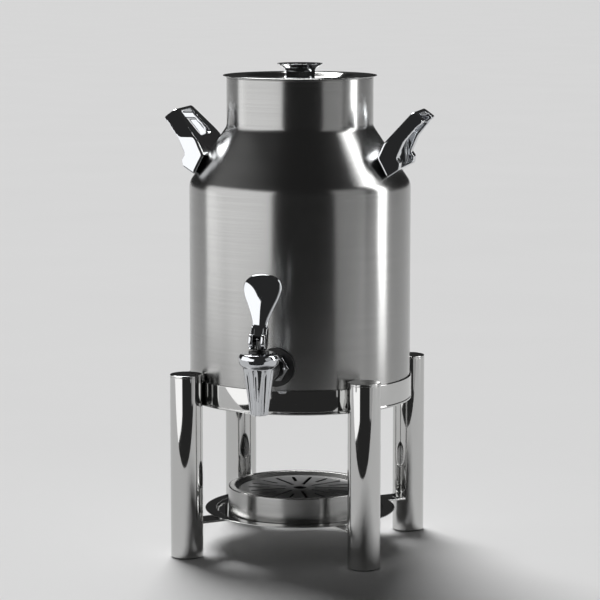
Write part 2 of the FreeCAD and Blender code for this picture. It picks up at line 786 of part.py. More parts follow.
def lid_disc():
    """The spun top of the lid: a flat rim round a dished middle."""
    disc = new_body("lid_disc")
    revolve(disc, "lid_turn", [
        ("0", "lid_floor - lid_wall"), ("lid_dish_radius - lid_slope_width", "lid_floor - lid_wall", "4"),
        ("lid_dish_radius + 0.5", "lid_bottom", "4"), ("lid_radius - 1.2", "lid_bottom"),
        ("lid_radius", "lid_top - 0.3"), ("lid_radius - 0.6", "lid_top"),
        ("lid_dish_radius", "lid_top", "4"), ("lid_dish_radius - lid_slope_width", "lid_floor", "4"),
        ("0", "lid_floor")])
    hole = new_sketch(disc, "lid_hole", "XY_Plane", "lid_floor")
    circle(hole, "screw_radius")
    pocket(disc, hole, "lid_screw_hole", "lid_wall * 2")
    return disc


def lid_pan():
    """The pan under the lid, which drops into the neck and holds the lid central."""
    pan = new_body("lid_pan")
    deep = "lid_bottom - lid_pan_depth"
    groove = "lid_bottom - lid_pan_depth / 2"
    revolve(pan, "pan_turn", [
        ("0", deep), ("plug_radius", deep, "3"),
        ("plug_radius", groove + " - seal_height / 2"),
        ("plug_radius - 1", groove + " - seal_height / 2"),
        ("plug_radius - 1", groove + " + seal_height / 2"),
        ("plug_radius", groove + " + seal_height / 2"),
        ("plug_radius", "lid_bottom"), ("plug_radius - 2", "lid_bottom"),
        ("plug_radius - 2", deep + " + lid_wall"), ("0", deep + " + lid_wall")])
    return pan


def lid_seal():
    """A soft ring in the pan's groove."""
    seal = new_body("lid_seal")
    groove = "lid_bottom - lid_pan_depth / 2"
    revolve(seal, "seal_turn", [
        ("plug_radius - 1", groove + " - seal_height / 2"),
        ("plug_radius + seal_width - 0.4", groove + " - seal_height / 2"),
        ("plug_radius + seal_width", groove),
        ("plug_radius + seal_width - 0.4", groove + " + seal_height / 2"),
        ("plug_radius - 1", groove + " + seal_height / 2")])
    return seal


def lid_knob():
    """A turned knob: a straight waist that flares to a thin flat top."""
    knob = new_body("lid_knob")
    top = "lid_floor + knob_height"
    revolve(knob, "knob_turn", [
        ("0", "lid_floor + 8"), ("screw_radius", "lid_floor + 8"), ("screw_radius", "lid_floor"),
        ("knob_waist_radius", "lid_floor"),
        ("knob_waist_radius", top + " - knob_lip - 1.4", "knob_flare * 0.55"),
        ("knob_radius", top + " - knob_lip * 0.4"), ("knob_radius", top),
        ("knob_radius - 1", top), ("knob_radius - 3", top + " - 0.5"), ("0", top + " - 0.5")])
    return knob


def knob_screw():
    """A pan-head screw up through the lid into the knob."""
    start = FreeCAD.Vector(0, 0, size("lid_floor - lid_wall"))
    up = FreeCAD.Vector(0, 0, 1)
    head = rod("knob_screw_head", "screw_radius * 1.9", "2.2", start - up * 2.2, up)
    shank = rod("knob_screw_shank", "screw_radius", "lid_wall + 7.5", start, up)
    return fuse("knob_screw", [head, shank])


def wall_ring(label, inner, outer, near, far):
    """A ring round the tap's shank, between two distances from the urn's axis."""
    ring = new_body(label)
    sketch = new_sketch(ring, label + "_ring", "XZ_Plane", near)
    circle(sketch, outer, "0", "tap_height")
    circle(sketch, inner, "0", "tap_height")
    pad(ring, sketch, label + "_pad", f"{far} - ({near})")
    return ring


def can_core(label, radius):
    """A plain cylinder about the urn's axis, to trim the rings that sit on a round wall."""
    core = doc.addObject("Part::Cylinder", label)
    bind(core, Radius=radius, Height="tap_height * 2")
    return core


def tap_gasket():
    """A soft black ring whose back follows the body."""
    ring = wall_ring("gasket_ring", "shank_radius", "gasket_radius", "body_radius - 6", "tap_face")
    return cut("tap_gasket", ring, can_core("gasket_core", "body_radius"))


def tank_sleeve():
    """A short tube welded between the two walls, which the shank passes through."""
    ring = wall_ring("sleeve_ring", "shank_radius + shank_clearance",
                     "shank_radius + shank_clearance + sleeve_wall", "tank_radius - 4", "body_radius")
    outside = doc.addObject("Part::Common", "sleeve_outside")
    outside.Base = ring
    outside.Tool = can_core("sleeve_shell_core", "shell_inner")
    return cut("tank_sleeve", outside, can_core("sleeve_tank_core", "tank_radius"))


def tank_washer():
    """A soft washer inside the tank, curved to its wall."""
    ring = wall_ring("washer_ring", "shank_radius", "washer_radius", "tank_inner - washer_wall - 2", "tank_inner")
    washer = doc.addObject("Part::Common", "tank_washer")
    washer.Base = ring
    washer.Tool = can_core("washer_core", "tank_inner")
    return washer


def hexagon(sketch, radius, x_rule, y_rule):
    """A hexagon with its points left and right."""
    corners = []
    for step in range(6):
        turn = math.radians(60 * step)
        corners.append((f"{x_rule} + {radius} * ({math.cos(turn):.6f})", f"{y_rule} + {radius} * ({math.sin(turn):.6f})"))
    outline(sketch, corners)


def tank_nut():
    """The hexagon nut that clamps the tap from inside the tank."""
    nut = new_body("tank_nut")
    face = "tank_inner - washer_wall - 2"
    sketch = new_sketch(nut, "nut_plan", "XZ_Plane", face + " - nut_width")
    hexagon(sketch, "nut_radius", "0", "tap_height")
    circle(sketch, "shank_radius", "0", "tap_height")
    pad(nut, sketch, "nut_pad", "nut_width")
    return nut


def tap_shank():
    """The tube that passes through the walls, with its thread as a plain cylinder."""
    return wall_ring("tap_shank", "shank_bore_radius", "shank_radius", "tank_inner - shank_end", "tap_face")


def tap_body():
    """The cast tap: hexagon, arm, round head and fluted spout."""
    out = FreeCAD.Vector(0, -1, 0)
    level = FreeCAD.Vector(0, 0, size("tap_height"))
    axis = FreeCAD.Vector(0, -size("tap_axis"), 0)
    flange = new_body("tap_hex")
    sketch = new_sketch(flange, "hex_plan", "XZ_Plane", "tap_face")
    hexagon(sketch, "hex_radius", "0", "tap_height")
    pad(flange, sketch, "hex_pad", "hex_width")
    horn_start = level + out * size("hex_front")
    horn_end = axis + FreeCAD.Vector(0, 0, size("tap_height - 4"))
    horn = taper("tap_horn", "hex_radius - 1.6", "horn_radius", "tap_reach - gasket_wall - hex_width",
                 horn_start, horn_end - horn_start)
    head = new_body("tap_head")
    revolve(head, "head_turn", [
        ("0", "spout_tip"), ("spout_tip_radius", "spout_tip", "0.8"),
        ("spout_top_radius", "head_bottom - 1", "1.5"),
        ("head_radius - 1.5", "head_bottom", "2"),
        ("head_radius", "head_top - head_bend", "5"), ("head_radius - head_bend", "head_top", "4"),
        ("0", "head_top")])
    head.Placement = FreeCAD.Placement(axis, FreeCAD.Rotation())
    solid = fuse("tap_casting", [flange, horn, head])
    flutes = []
    slope = (size("spout_top_radius") - size("spout_tip_radius")) / (size("head_bottom - 1 - spout_tip"))
    for step in range(int(size("flute_count"))):
        turn = math.radians(-90 + (step + 0.5) * 360 / size("flute_count"))
        side = FreeCAD.Vector(math.cos(turn), math.sin(turn), 0)
        low = axis + side * size("spout_tip_radius + flute_radius - flute_depth - 0.6")
        low.z = size("spout_tip - 4")
        up = side * slope * 1.02 + FreeCAD.Vector(0, 0, 1)
        flutes.append(taper(f"flute_{step + 1}", "flute_radius * 0.8", "flute_radius",
                            "head_bottom - spout_tip - 1.5", low, up))
    bore = new_body("tap_bore")
    revolve(bore, "bore_turn", [
        ("0", "spout_tip - 5"), ("spout_bore_radius", "spout_tip - 5"),
        ("spout_bore_radius", "chamber_bottom"), ("chamber_radius", "chamber_bottom"),
        ("chamber_radius", "head_top + 5"), ("0", "head_top + 5")])
    bore.Placement = FreeCAD.Placement(axis, FreeCAD.Rotation())
    passage = rod("tap_passage", "shank_bore_radius", "tap_axis - tap_face + 5",
                  level + out * size("tap_face - 5"), out)
    return cut("tap_body", solid, group("tap_flutes", flutes), bore, passage)


def tap_turned(label, corners):
    """A turned piece on the tap's upright axis."""
    piece = new_body(label)
    revolve(piece, label + "_turn", corners)
    piece.Placement = FreeCAD.Placement(FreeCAD.Vector(0, -size("tap_axis"), 0), FreeCAD.Rotation())
    return piece


def tap_bonnet():
    """The black plug in the top of the tap that guides the stem."""
    bore = "stem_radius + stem_clearance"
    return tap_turned("tap_bonnet", [
        (bore, "bonnet_bottom"), ("chamber_radius", "bonnet_bottom"), ("chamber_radius", "head_top"),
        ("bonnet_radius", "head_top"), ("bonnet_radius", "head_top + bonnet_cap_height", "0.8"),
        ("bonnet_boss_radius", "head_top + bonnet_cap_height"), ("bonnet_boss_radius", "bonnet_top", "0.6"),
        (bore, "bonnet_top")])


def tap_stem():
    """The stem, from the seat cup up to the lever's pin."""
    stem = tap_turned("stem_rod", [
        ("0", "cup_bottom + 2"), ("stem_radius", "cup_bottom + 2"),
        ("stem_radius", "pivot_height + pin_radius + eye_wall", "1.2"),
        ("0", "pivot_height + pin_radius + eye_wall")])
    across = FreeCAD.Vector(1, 0, 0)
    start = FreeCAD.Vector(-size("stem_radius") * 2, -size("tap_axis"), size("pivot_height"))
    hole = rod("stem_eye", "pin_radius + pin_clearance", "stem_radius * 4", start, across)
    return cut("tap_stem", stem, hole)


def seat_cup():
    """The soft cup on the stem that shuts the spout."""
    return tap_turned("seat_cup", [
        ("0", "cup_bottom"), ("cup_radius - 1.5", "cup_bottom"), ("cup_radius", "cup_bottom + 1.5"),
        ("cup_radius", "cup_top - 2"), ("cup_radius - 2.5", "cup_top"), ("stem_radius", "cup_top"),
        ("stem_radius", "cup_bottom + 2"), ("0", "cup_bottom + 2")])


def tap_spring():
    """The spring that pushes the cup down on its seat."""
    spring = new_body("tap_spring")
    section = new_sketch(spring, "spring_section", "XZ_Plane")
    hexagon(section, "spring_wire", "spring_radius", "cup_top + spring_wire + spring_gap")
    coil = spring.newObject("PartDesign::AdditiveHelix", "spring_coil")
    coil.Profile = section
    coil.ReferenceAxis = (section, ["V_Axis"])
    coil.Mode = "height-turns-angle"
    bind(coil, Height="bonnet_bottom - cup_top - (spring_wire + spring_gap) * 2", Turns="spring_turns")
    spring.Tip = coil
    spring.Placement = FreeCAD.Placement(FreeCAD.Vector(0, -size("tap_axis"), 0), FreeCAD.Rotation())
    return spring


# Sections of the paddle, from its neck to its top: shares of its length, width and thickness.
PADDLE = [(0.0, 0.379, 0.915), (0.16, 0.458, 0.936), (0.36, 0.663, 0.979), (0.56, 0.889, 1.0), (0.74, 1.0, 0.957),
          (0.87, 0.9, 0.851), (0.95, 0.653, 0.66), (0.99, 0.326, 0.404)]


def paddle(label):
    """A chrome paddle, lofted through ellipses from its neck to its rounded top."""
    rings = []
    for number, (share, width, thick) in enumerate(PADDLE, start=1):
        ring = doc.addObject("Part::Ellipse", f"{label}_section_{number}")
        bind(ring, MajorRadius=f"paddle_width * {width / 2}", MinorRadius=f"paddle_thickness * {thick / 2}",
             **{"Placement.Base.z": f"neck_length + paddle_length * {share}"})
        rings.append(ring)
    loft = doc.addObject("Part::Loft", label)
    loft.Sections = rings
    loft.Solid = True
    loft.Ruled = False
    return loft


def tap_lever():
    """The lever: a fork that straddles the stem, with the paddle above it."""
    fork = new_body("lever_fork")
    side = new_sketch(fork, "fork_side", "YZ_Plane")
    outline(side, [("0 - fork_depth / 2", "0"), ("fork_depth / 2", "0"),
                   ("fork_neck_depth / 2", "neck_length"), ("0 - fork_neck_depth / 2", "neck_length")])
    pad(fork, side, "fork_web", "fork_width", both_ways=True)
    cam = new_sketch(fork, "fork_cam", "YZ_Plane")
    circle(cam, "cam_radius", "0 - cam_offset", "0")
    pad(fork, cam, "fork_cams", "fork_width", both_ways=True)
    eye = new_sketch(fork, "fork_eye", "YZ_Plane")
    circle(eye, "pin_radius * 3")
    pad(fork, eye, "fork_eyes", "fork_width", both_ways=True)
    arch = new_sketch(fork, "fork_arch", "XZ_Plane")
    half = "fork_slot / 2"
    low = "0 - cam_radius * 2"
    outline(arch, [("0 - " + half, low), (half, low), (half, "arch_height", half + " * 0.8"),
                   ("0 - " + half, "arch_height", half + " * 0.8")])
    pocket(fork, arch, "fork_gap", "fork_depth * 4", both_ways=True)
    whole = fuse("lever_casting", [fork, paddle("lever_paddle")])
    place_at = FreeCAD.Vector(0, -size("tap_axis"), size("pivot_height"))
    lean = FreeCAD.Rotation(FreeCAD.Vector(1, 0, 0), -size("paddle_lean"))
    whole.Placement = FreeCAD.Placement(place_at, lean)
    hole = rod("lever_pin_hole", "pin_radius", "fork_width * 2",
               place_at - FreeCAD.Vector(size("fork_width"), 0, 0), FreeCAD.Vector(1, 0, 0))
    return cut("tap_lever", whole, hole)


def lever_pin():
    """The pin through the fork and the stem."""
    start = FreeCAD.Vector(-size("fork_width / 2"), -size("tap_axis"), size("pivot_height"))
    return rod("lever_pin", "pin_radius", "fork_width", start, FreeCAD.Vector(1, 0, 0))


screws = ring_screws()
studs = handle_studs()
keep(screws)
for name in LEGS:
    keep(leg(name, screws))
    keep(dish_arm(name))
keep(leg_caps())
keep(leg_feet())
keep(support_ring(screws))
keep(support_ledge())
keep(tray_dish())
keep(drip_tray())
keep(drip_grate())
keep(studs)
keep(shell_body())
keep(shell_shoulder(studs))
keep(shell_neck())
keep(tank_body())
keep(tank_shoulder())
keep(tank_neck())
keep(base_cover())
right_handle = keep(handle_right(studs))
keep(handle_left(right_handle))
keep(lid_disc())
keep(lid_pan())
keep(lid_seal())
keep(lid_knob())
keep(knob_screw())
keep(tap_gasket())
keep(tank_sleeve())
keep(tank_washer())
keep(tank_nut())
keep(tap_shank())
keep(tap_body())
keep(tap_bonnet())
keep(tap_stem())
keep(seat_cup())
keep(tap_spring())
keep(tap_lever())
keep(lever_pin())

doc.recompute()

faults = []
for thing in doc.Objects:
    if {"Invalid", "Error"} & set(thing.State):
        faults.append(f"{thing.Name} is {thing.State}")
for piece in NODES:
    if piece.Shape.isNull() or not piece.Shape.isValid() or piece.Shape.Volume <= 0:
        faults.append(f"{piece.Label} has no valid shape")
if faults:
    raise SystemExit("\n".join(faults))

os.makedirs("parts", exist_ok=True)
for piece in NODES:
    piece.Shape.exportStep(f"parts/{piece.Label}.step")
    print(f"{piece.Label}: {len(piece.Shape.Solids)} solids, {piece.Shape.Volume / 1000:.2f} cm3")
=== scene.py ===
# %% [markdown]
# A milk-can coffee urn on a tube-legged stand.
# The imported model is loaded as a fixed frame, and each visible piece is then dressed. Most of the urn
# is sheet metal spun on a lathe, so most pieces here are profiles swept round an axis with numpy. The
# cast pieces are lofts, slabs or softened copies of their solids, and what is already right keeps its
# own mesh and gets a proper material.

# %% Load the frame
import json
import math

import bmesh
import bpy
import numpy as np
from mathutils import Euler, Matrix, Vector


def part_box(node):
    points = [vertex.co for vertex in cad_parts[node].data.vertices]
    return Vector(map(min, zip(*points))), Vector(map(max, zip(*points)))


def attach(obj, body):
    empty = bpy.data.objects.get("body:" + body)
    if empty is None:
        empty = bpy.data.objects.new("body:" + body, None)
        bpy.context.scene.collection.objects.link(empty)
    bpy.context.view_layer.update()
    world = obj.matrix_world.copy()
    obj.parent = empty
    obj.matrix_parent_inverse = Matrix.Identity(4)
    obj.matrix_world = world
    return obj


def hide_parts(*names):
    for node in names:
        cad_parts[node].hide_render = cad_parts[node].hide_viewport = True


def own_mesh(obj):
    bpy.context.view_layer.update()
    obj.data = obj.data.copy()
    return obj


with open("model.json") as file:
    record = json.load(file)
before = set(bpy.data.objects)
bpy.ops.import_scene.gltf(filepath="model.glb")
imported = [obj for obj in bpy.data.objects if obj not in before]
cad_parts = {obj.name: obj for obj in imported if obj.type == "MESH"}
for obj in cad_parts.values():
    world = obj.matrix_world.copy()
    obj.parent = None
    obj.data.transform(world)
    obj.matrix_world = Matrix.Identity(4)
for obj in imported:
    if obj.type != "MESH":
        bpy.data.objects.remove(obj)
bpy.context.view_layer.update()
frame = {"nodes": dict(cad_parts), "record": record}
nodes = frame["nodes"]
MM = 0.001

# %% [markdown]
# The camera. A long lens from almost three metres away keeps the legs nearly upright in the picture.
# The lens follows from how many picture widths away the focus is. The camera stands a little to the
# right of the tap and looks slightly down.

# %% Place the camera
LENS_PER_WIDTH = 4.457
CAMERA_DISTANCE, CAMERA_HEIGHT = 2.77, 0.64
CAMERA_TURN, CAMERA_DIP = math.radians(12.2), math.radians(7.84)

lens = bpy.data.cameras.new("camera")
lens.sensor_width = 36
lens.lens = LENS_PER_WIDTH * lens.sensor_width
camera = bpy.data.objects.new("camera", lens)
camera.location = (CAMERA_DISTANCE * math.sin(CAMERA_TURN), -CAMERA_DISTANCE * math.cos(CAMERA_TURN),
                   CAMERA_HEIGHT)
camera.rotation_euler = Euler((math.pi / 2 - CAMERA_DIP, 0, CAMERA_TURN))
bpy.context.scene.collection.objects.link(camera)
bpy.context.scene.camera = camera
print(f"lens {lens.lens:.0f} mm")

# %% [markdown]
# Three small helpers for materials. One turns an sRGB hex colour to linear light, which is what
# shaders work in. One adds a node with its settings and its links in a single call. The third starts
# a material, whose patterns all read the object's own coordinates, so they stay put on the piece.

# %% Helpers for materials
def colour(code, share=1.0):
    """The linear colour of an sRGB hex code, times a share: each channel is undone by the sRGB curve."""
    level = np.array([int(code[i:i + 2], 16) for i in (1, 3, 5)]) / 255
    linear = np.where(level <= 0.04045, level / 12.92, ((level + 0.055) / 1.055) ** 2.4)
    return (*np.minimum(linear * share, 1).tolist(), 1.0)


def add(tree, kind, inputs=None, **settings):
    """Add a node, set its properties, and set or link its inputs."""
    node = tree.nodes.new("ShaderNode" + kind)
    for name, value in settings.items():
        setattr(node, name, value)
    for name, value in (inputs or {}).items():
        if isinstance(value, bpy.types.NodeSocket):
            tree.links.new(value, node.inputs[name])
        else:
            node.inputs[name].default_value = value
    return node


def new_material(name):
    """An empty material: its tree, its shader and the coordinates of the object."""
    material = bpy.data.materials.new(name)
    material.use_nodes = True
    tree = material.node_tree
    place = add(tree, "TexCoord").outputs["Object"]
    return material, tree, tree.nodes["Principled BSDF"], place


print(f"the hex level 80 is {colour('#808080')[0]:.3f} in linear light")

# %% [markdown]
# Brushed stainless steel. A belt is held against the turning can, so fine scratches run round it.
# They spread each reflection up and down but keep it sharp from side to side, which gives a can its
# upright bands of light and dark. Noise squeezed along Z draws the scratches. They are a millimetre
# apart here, coarser than the real 0.1 mm, so that they still show in a picture. The shader's
# anisotropy does the spreading. It needs to know which way round is, which the UV map of each turned
# surface tells it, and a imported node, which has no such map, does without it. A thin wall is never
# quite true either, so the can's skin also gets broad, shallow swells.

# %% Brushed stainless steel
SCRATCH_GAP, SCRATCH_HEIGHT, SCRATCH_BUMP = 0.001, 0.0004, 0.012
SWELLS_PER_METRE, SWELL_HEIGHT = 16.0, 0.004
CLOUDS_PER_METRE = (9.0, 9.0, 60.0)


def brushed_steel(name, base, roughness, run=0.12, spread=0.75, sway=0.0):
    """Steel brushed round Z. run is a scratch's length in metres, spread its anisotropy, sway the swells."""
    material, tree, shader, place = new_material(name)
    squeezed = add(tree, "Mapping", {"Vector": place, "Scale": (1 / run, 1 / run, 1 / SCRATCH_GAP)})
    scratches = add(tree, "TexNoise", {"Vector": squeezed.outputs["Vector"], "Scale": 1.0, "Detail": 1.0})
    wide = add(tree, "Mapping", {"Vector": place, "Scale": CLOUDS_PER_METRE})
    clouds = add(tree, "TexNoise", {"Vector": wide.outputs["Vector"], "Scale": 1.0, "Detail": 2.0})
    tint = add(tree, "ValToRGB", {"Fac": scratches.outputs["Fac"]})
    for stop, position, share in zip(tint.color_ramp.elements, (0.25, 0.75), (0.94, 1.04)):
        stop.position, stop.color = position, colour(base, share)
    tree.links.new(tint.outputs["Color"], shader.inputs["Base Color"])
    rough = add(tree, "MapRange", {"Value": clouds.outputs["Fac"], "To Min": roughness * 0.94,
                                   "To Max": roughness * 1.07})
    tree.links.new(rough.outputs["Result"], shader.inputs["Roughness"])
    bump = add(tree, "Bump", {"Height": scratches.outputs["Fac"], "Strength": SCRATCH_BUMP,
                              "Distance": SCRATCH_HEIGHT})
    if sway:
        swells = add(tree, "TexNoise", {"Vector": place, "Scale": SWELLS_PER_METRE, "Detail": 0.0})
        bump = add(tree, "Bump", {"Height": swells.outputs["Fac"], "Strength": sway,
                                  "Distance": SWELL_HEIGHT, "Normal": bump.outputs["Normal"]})
    tree.links.new(bump.outputs["Normal"], shader.inputs["Normal"])
    shader.inputs["Metallic"].default_value = 1.0
    if spread:
        shader.inputs["Anisotropic"].default_value = spread
        shader.inputs["Anisotropic Rotation"].default_value = 0.25
        way_round = add(tree, "Tangent", direction_type="UV_MAP", uv_map="surface")
        tree.links.new(way_round.outputs["Tangent"], shader.inputs["Tangent"])
    return material


print(f"scratches {SCRATCH_GAP / MM:.0f} mm apart")

# %% [markdown]
# Mirror metals. The legs, the band and the dish are polished stainless steel, a little warm and with
# faint buffing marks. The castings are chrome plate over zinc, which is bluer and cleaner, and whose
# surface keeps a slight wave from the casting below it. One function makes both, since they differ
# only in colour, in how clean they are and in how much they wave.

# %% Mirror metals
WAVES_PER_METRE, WAVE_HEIGHT, HAZE_PER_METRE = 26.0, 0.002, 60.0


def mirror_metal(name, base, roughness, wave=0.03):
    """A polished metal: a noise lets its roughness drift, and another bumps it into broad waves."""
    material, tree, shader, place = new_material(name)
    haze = add(tree, "TexNoise", {"Vector": place, "Scale": HAZE_PER_METRE, "Detail": 3.0})
    rough = add(tree, "MapRange", {"Value": haze.outputs["Fac"], "To Min": roughness * 0.6,
                                   "To Max": roughness * 1.5})
    tree.links.new(rough.outputs["Result"], shader.inputs["Roughness"])
    waves = add(tree, "TexNoise", {"Vector": place, "Scale": WAVES_PER_METRE, "Detail": 1.0})
    bump = add(tree, "Bump", {"Height": waves.outputs["Fac"], "Strength": wave, "Distance": WAVE_HEIGHT})
    tree.links.new(bump.outputs["Normal"], shader.inputs["Normal"])
    shader.inputs["Base Color"].default_value = colour(base)
    shader.inputs["Metallic"].default_value = 1.0
    return material


print(f"waves about {1000 / WAVES_PER_METRE:.0f} mm wide")

# %% [markdown]
# Black parts. The gasket, seal and seat cup are EPDM rubber, dull and slightly grained. The bonnet
# and the feet are moulded acetal and nylon with a satin face. Both take their grain from the mould,
# so it is a fine bump and not a colour.

# %% Rubber and plastic
GRAIN, GRAIN_HEIGHT, WEAR_PER_METRE = 0.0006, 0.0001, 90.0


def moulded(name, base, roughness):
    """A moulded black part: one noise bumps it into a fine grain, and another lets its gloss drift."""
    material, tree, shader, place = new_material(name)
    speckle = add(tree, "TexNoise", {"Vector": place, "Scale": 1 / GRAIN, "Detail": 2.0})
    bump = add(tree, "Bump", {"Height": speckle.outputs["Fac"], "Strength": 0.15, "Distance": GRAIN_HEIGHT})
    tree.links.new(bump.outputs["Normal"], shader.inputs["Normal"])
    wear = add(tree, "TexNoise", {"Vector": place, "Scale": WEAR_PER_METRE, "Detail": 2.0})
    rough = add(tree, "MapRange", {"Value": wear.outputs["Fac"], "To Min": roughness * 0.85,
                                   "To Max": roughness * 1.15})
    tree.links.new(rough.outputs["Result"], shader.inputs["Roughness"])
    shader.inputs["Base Color"].default_value = colour(base)
    return material


print(f"grain {GRAIN / MM:.1f} mm wide")

# %% [markdown]
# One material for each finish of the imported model, named for what the real surface is. A second
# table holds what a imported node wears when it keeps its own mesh: the same steels without the
# anisotropy.

# %% Materials by finish
SKIN, MILL = "#A2A2A1", "#9C9C9B"
FINISHES = {
    "brushed_steel_skin": brushed_steel("brushed_stainless_steel", SKIN, 0.24, sway=0.12),
    "plain_steel": brushed_steel("mill_finish_stainless_steel", MILL, 0.38, run=0.01),
    "polished_steel": mirror_metal("polished_stainless_steel", "#C6C6C5", 0.035),
    "chrome_casting": mirror_metal("chrome_plated_zinc", "#CDCFD2", 0.03, wave=0.05),
    "black_rubber": moulded("black_epdm_rubber", "#0D0D0D", 0.38),
    "black_plastic": moulded("black_moulded_acetal", "#0F0F10", 0.28),
}
NODE_FINISHES = dict(
    FINISHES,
    brushed_steel_skin=brushed_steel("brushed_stainless_plate", SKIN, 0.33, run=0.01, spread=0),
    plain_steel=brushed_steel("mill_finish_stainless_fasteners", MILL, 0.4, run=0.01, spread=0))
SLOT_OF = {row["node"]: row["material_slot"] for row in frame["record"]["subparts"]}
for name, node in nodes.items():
    node.data.materials.clear()
    node.data.materials.append(NODE_FINISHES[SLOT_OF[name]])
print(f"{len(SLOT_OF)} nodes dressed in {len(FINISHES)} finishes")

# %% [markdown]
# Surfaces from grids. A shape is an array of points, rows by columns. Two neighbours in a row and the
# two below them make one face. The columns always close on themselves. The rows may close too, as on
# a ring, and otherwise the first and the last row are each filled with one flat face, or shrink to a
# point on the axis. Each face also gets its place in a UV map, which the brushed steel reads.

# %% The faces of a grid
def grid_faces(points, ring):
    """The faces of a grid, and each corner's place in UV: its share of the columns and of the rows."""
    rows, columns = points.shape[:2]
    index = np.arange(rows * columns).reshape(rows, columns)
    wrapped = np.hstack([index, index[:, :1]])
    wrapped = np.vstack([wrapped, wrapped[:1]]) if ring else wrapped
    shares = np.linspace(0, 1, len(wrapped)), np.linspace(0, 1, columns + 1)
    down, across = np.meshgrid(*shares, indexing="ij")
    first, last = slice(None, -1), slice(1, None)
    corners = [(first, first), (first, last), (last, last), (last, first)]
    quads = np.stack([wrapped[corner] for corner in corners], axis=-1).reshape(-1, 4)
    spots = np.stack([np.stack([across[corner], down[corner]], axis=-1) for corner in corners], axis=2)
    faces, spots = quads.tolist(), spots.reshape(-1, 2)
    if not ring:
        for row, end in ((index[0][::-1], 0.0), (index[-1], 1.0)):
            faces.append(row.tolist())
            edge = np.stack([np.linspace(0, 1, columns), np.full(columns, end)], axis=-1)
            spots = np.vstack([spots, edge])
    return faces, spots


print(f"a ring of 3 by 4 points has {len(grid_faces(np.zeros((3, 4, 3)), True)[0])} faces")

# %% [markdown]
# Finishing a piece. Its object stays at the origin, with its place in its mesh, so that patterns stay
# put. It is shaded smooth up to an angle, beyond which an edge shows as one. It is hung on the empty of
# the body that carries it and takes the material of its finish, and the imported nodes it replaces are
# hidden.

# %% Finish a piece
def finished(name, mesh, finish, body, replaced=(), sharp=40.0):
    """Shade a mesh smooth up to an angle, put it in the scene on its body and hide the nodes it replaces."""
    mesh.polygons.foreach_set("use_smooth", np.ones(len(mesh.polygons), bool))
    mesh.set_sharp_from_angle(angle=math.radians(sharp))
    mesh.materials.clear()
    mesh.materials.append(FINISHES[finish])
    thing = bpy.data.objects.new(name, mesh)
    bpy.context.scene.collection.objects.link(thing)
    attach(thing, body)
    if replaced:
        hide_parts(*replaced)
    print(f"{name}: {len(mesh.polygons)} faces")
    return thing


print("finishes to choose from:", ", ".join(FINISHES))

# %% [markdown]
# From grids to a piece. All its grids go into one mesh, and points that fall together, as at a pole,
# are merged. Then the faces are turned outwards. Sizes and places are read from the boxes of the
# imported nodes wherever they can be, so a visible piece lies where its solid does.

# %% Build a piece from its grids
WELD = 1e-6


def piece(name, grids, finish, body, replaced=(), sharp=40.0):
    """One object from several grids in millimetres, each given as (points, whether its rows close)."""
    builder = bmesh.new()
    for points, ring in grids:
        faces, spots = grid_faces(points, ring)
        mesh = bpy.data.meshes.new(name)
        mesh.from_pydata(points.reshape(-1, 3) * MM, [], faces)
        mesh.uv_layers.new(name="surface").data.foreach_set("uv", spots.reshape(-1))
        builder.from_mesh(mesh)
        bpy.data.meshes.remove(mesh)
    bmesh.ops.remove_doubles(builder, verts=builder.verts, dist=WELD)
    bmesh.ops.recalc_face_normals(builder, faces=builder.faces)
    mesh = bpy.data.meshes.new(name)
    builder.to_mesh(mesh)
    builder.free()
    return finished(name, mesh, finish, body, replaced, sharp)


def corners_of(node):
    """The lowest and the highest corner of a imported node, in millimetres."""
    return np.array([list(corner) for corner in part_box(node)]) / MM


print(f"the can's body reaches from z {corners_of('shell_body')[0, 2]:.1f} mm up")

# %% [markdown]
# Profiles. Sheet metal has a bend wherever it changes direction, and light runs along every bend. So
# a profile is given by its sharp corners, each with the radius of its bend, and the arcs are worked
# out, with a point every six degrees or so. A small default radius breaks the corners that have none
# of their own. A bend takes less than half of the shorter run beside it, so two never meet.

# %% Profiles with bends
BEND_STEP = math.radians(6)
LONGEST_BEND = 0.48


def rounded(corners, edge=0.25, closed=True):
    """Corners (r, z[, bend]) as points: each bend is an arc whose centre lies on the corner's bisector."""
    at = np.array([corner[:2] for corner in corners], float)
    points = []
    for i, corner in enumerate(corners):
        radius = corner[2] if len(corner) > 2 else edge
        is_end = not closed and i in (0, len(corners) - 1)
        if is_end or radius <= 0:
            points.append(at[i][None])
            continue
        back, on = at[i - 1] - at[i], at[(i + 1) % len(at)] - at[i]
        near = min(np.linalg.norm(back), np.linalg.norm(on))
        back, on = back / np.linalg.norm(back), on / np.linalg.norm(on)
        half = math.acos(float(np.clip(back @ on, -1, 1))) / 2
        radius = min(radius, LONGEST_BEND * near * math.tan(half))
        middle = at[i] + (back + on) / np.linalg.norm(back + on) * radius / math.sin(half)
        first, last = at[i] + back * radius / math.tan(half), at[i] + on * radius / math.tan(half)
        start = math.atan2(*(first - middle)[::-1])
        swing = (math.atan2(*(last - middle)[::-1]) - start + math.pi) % (2 * math.pi) - math.pi
        turn = start + swing * np.linspace(0, 1, max(3, int(abs(swing) / BEND_STEP) + 1))
        points.append(middle + radius * np.stack([np.cos(turn), np.sin(turn)], axis=-1))
    return np.concatenate(points)


print(f"a square with bends is {len(rounded([(1, 0), (9, 0), (9, 8), (1, 8)], 2.0))} points")

# %% [markdown]
# Turning. Swept round Z, a profile is what a lathe would turn or form over a block. Most pieces of
# the urn are round in one direction and are made this way, which keeps their curves true and gives
# them the UV map that brushing needs.

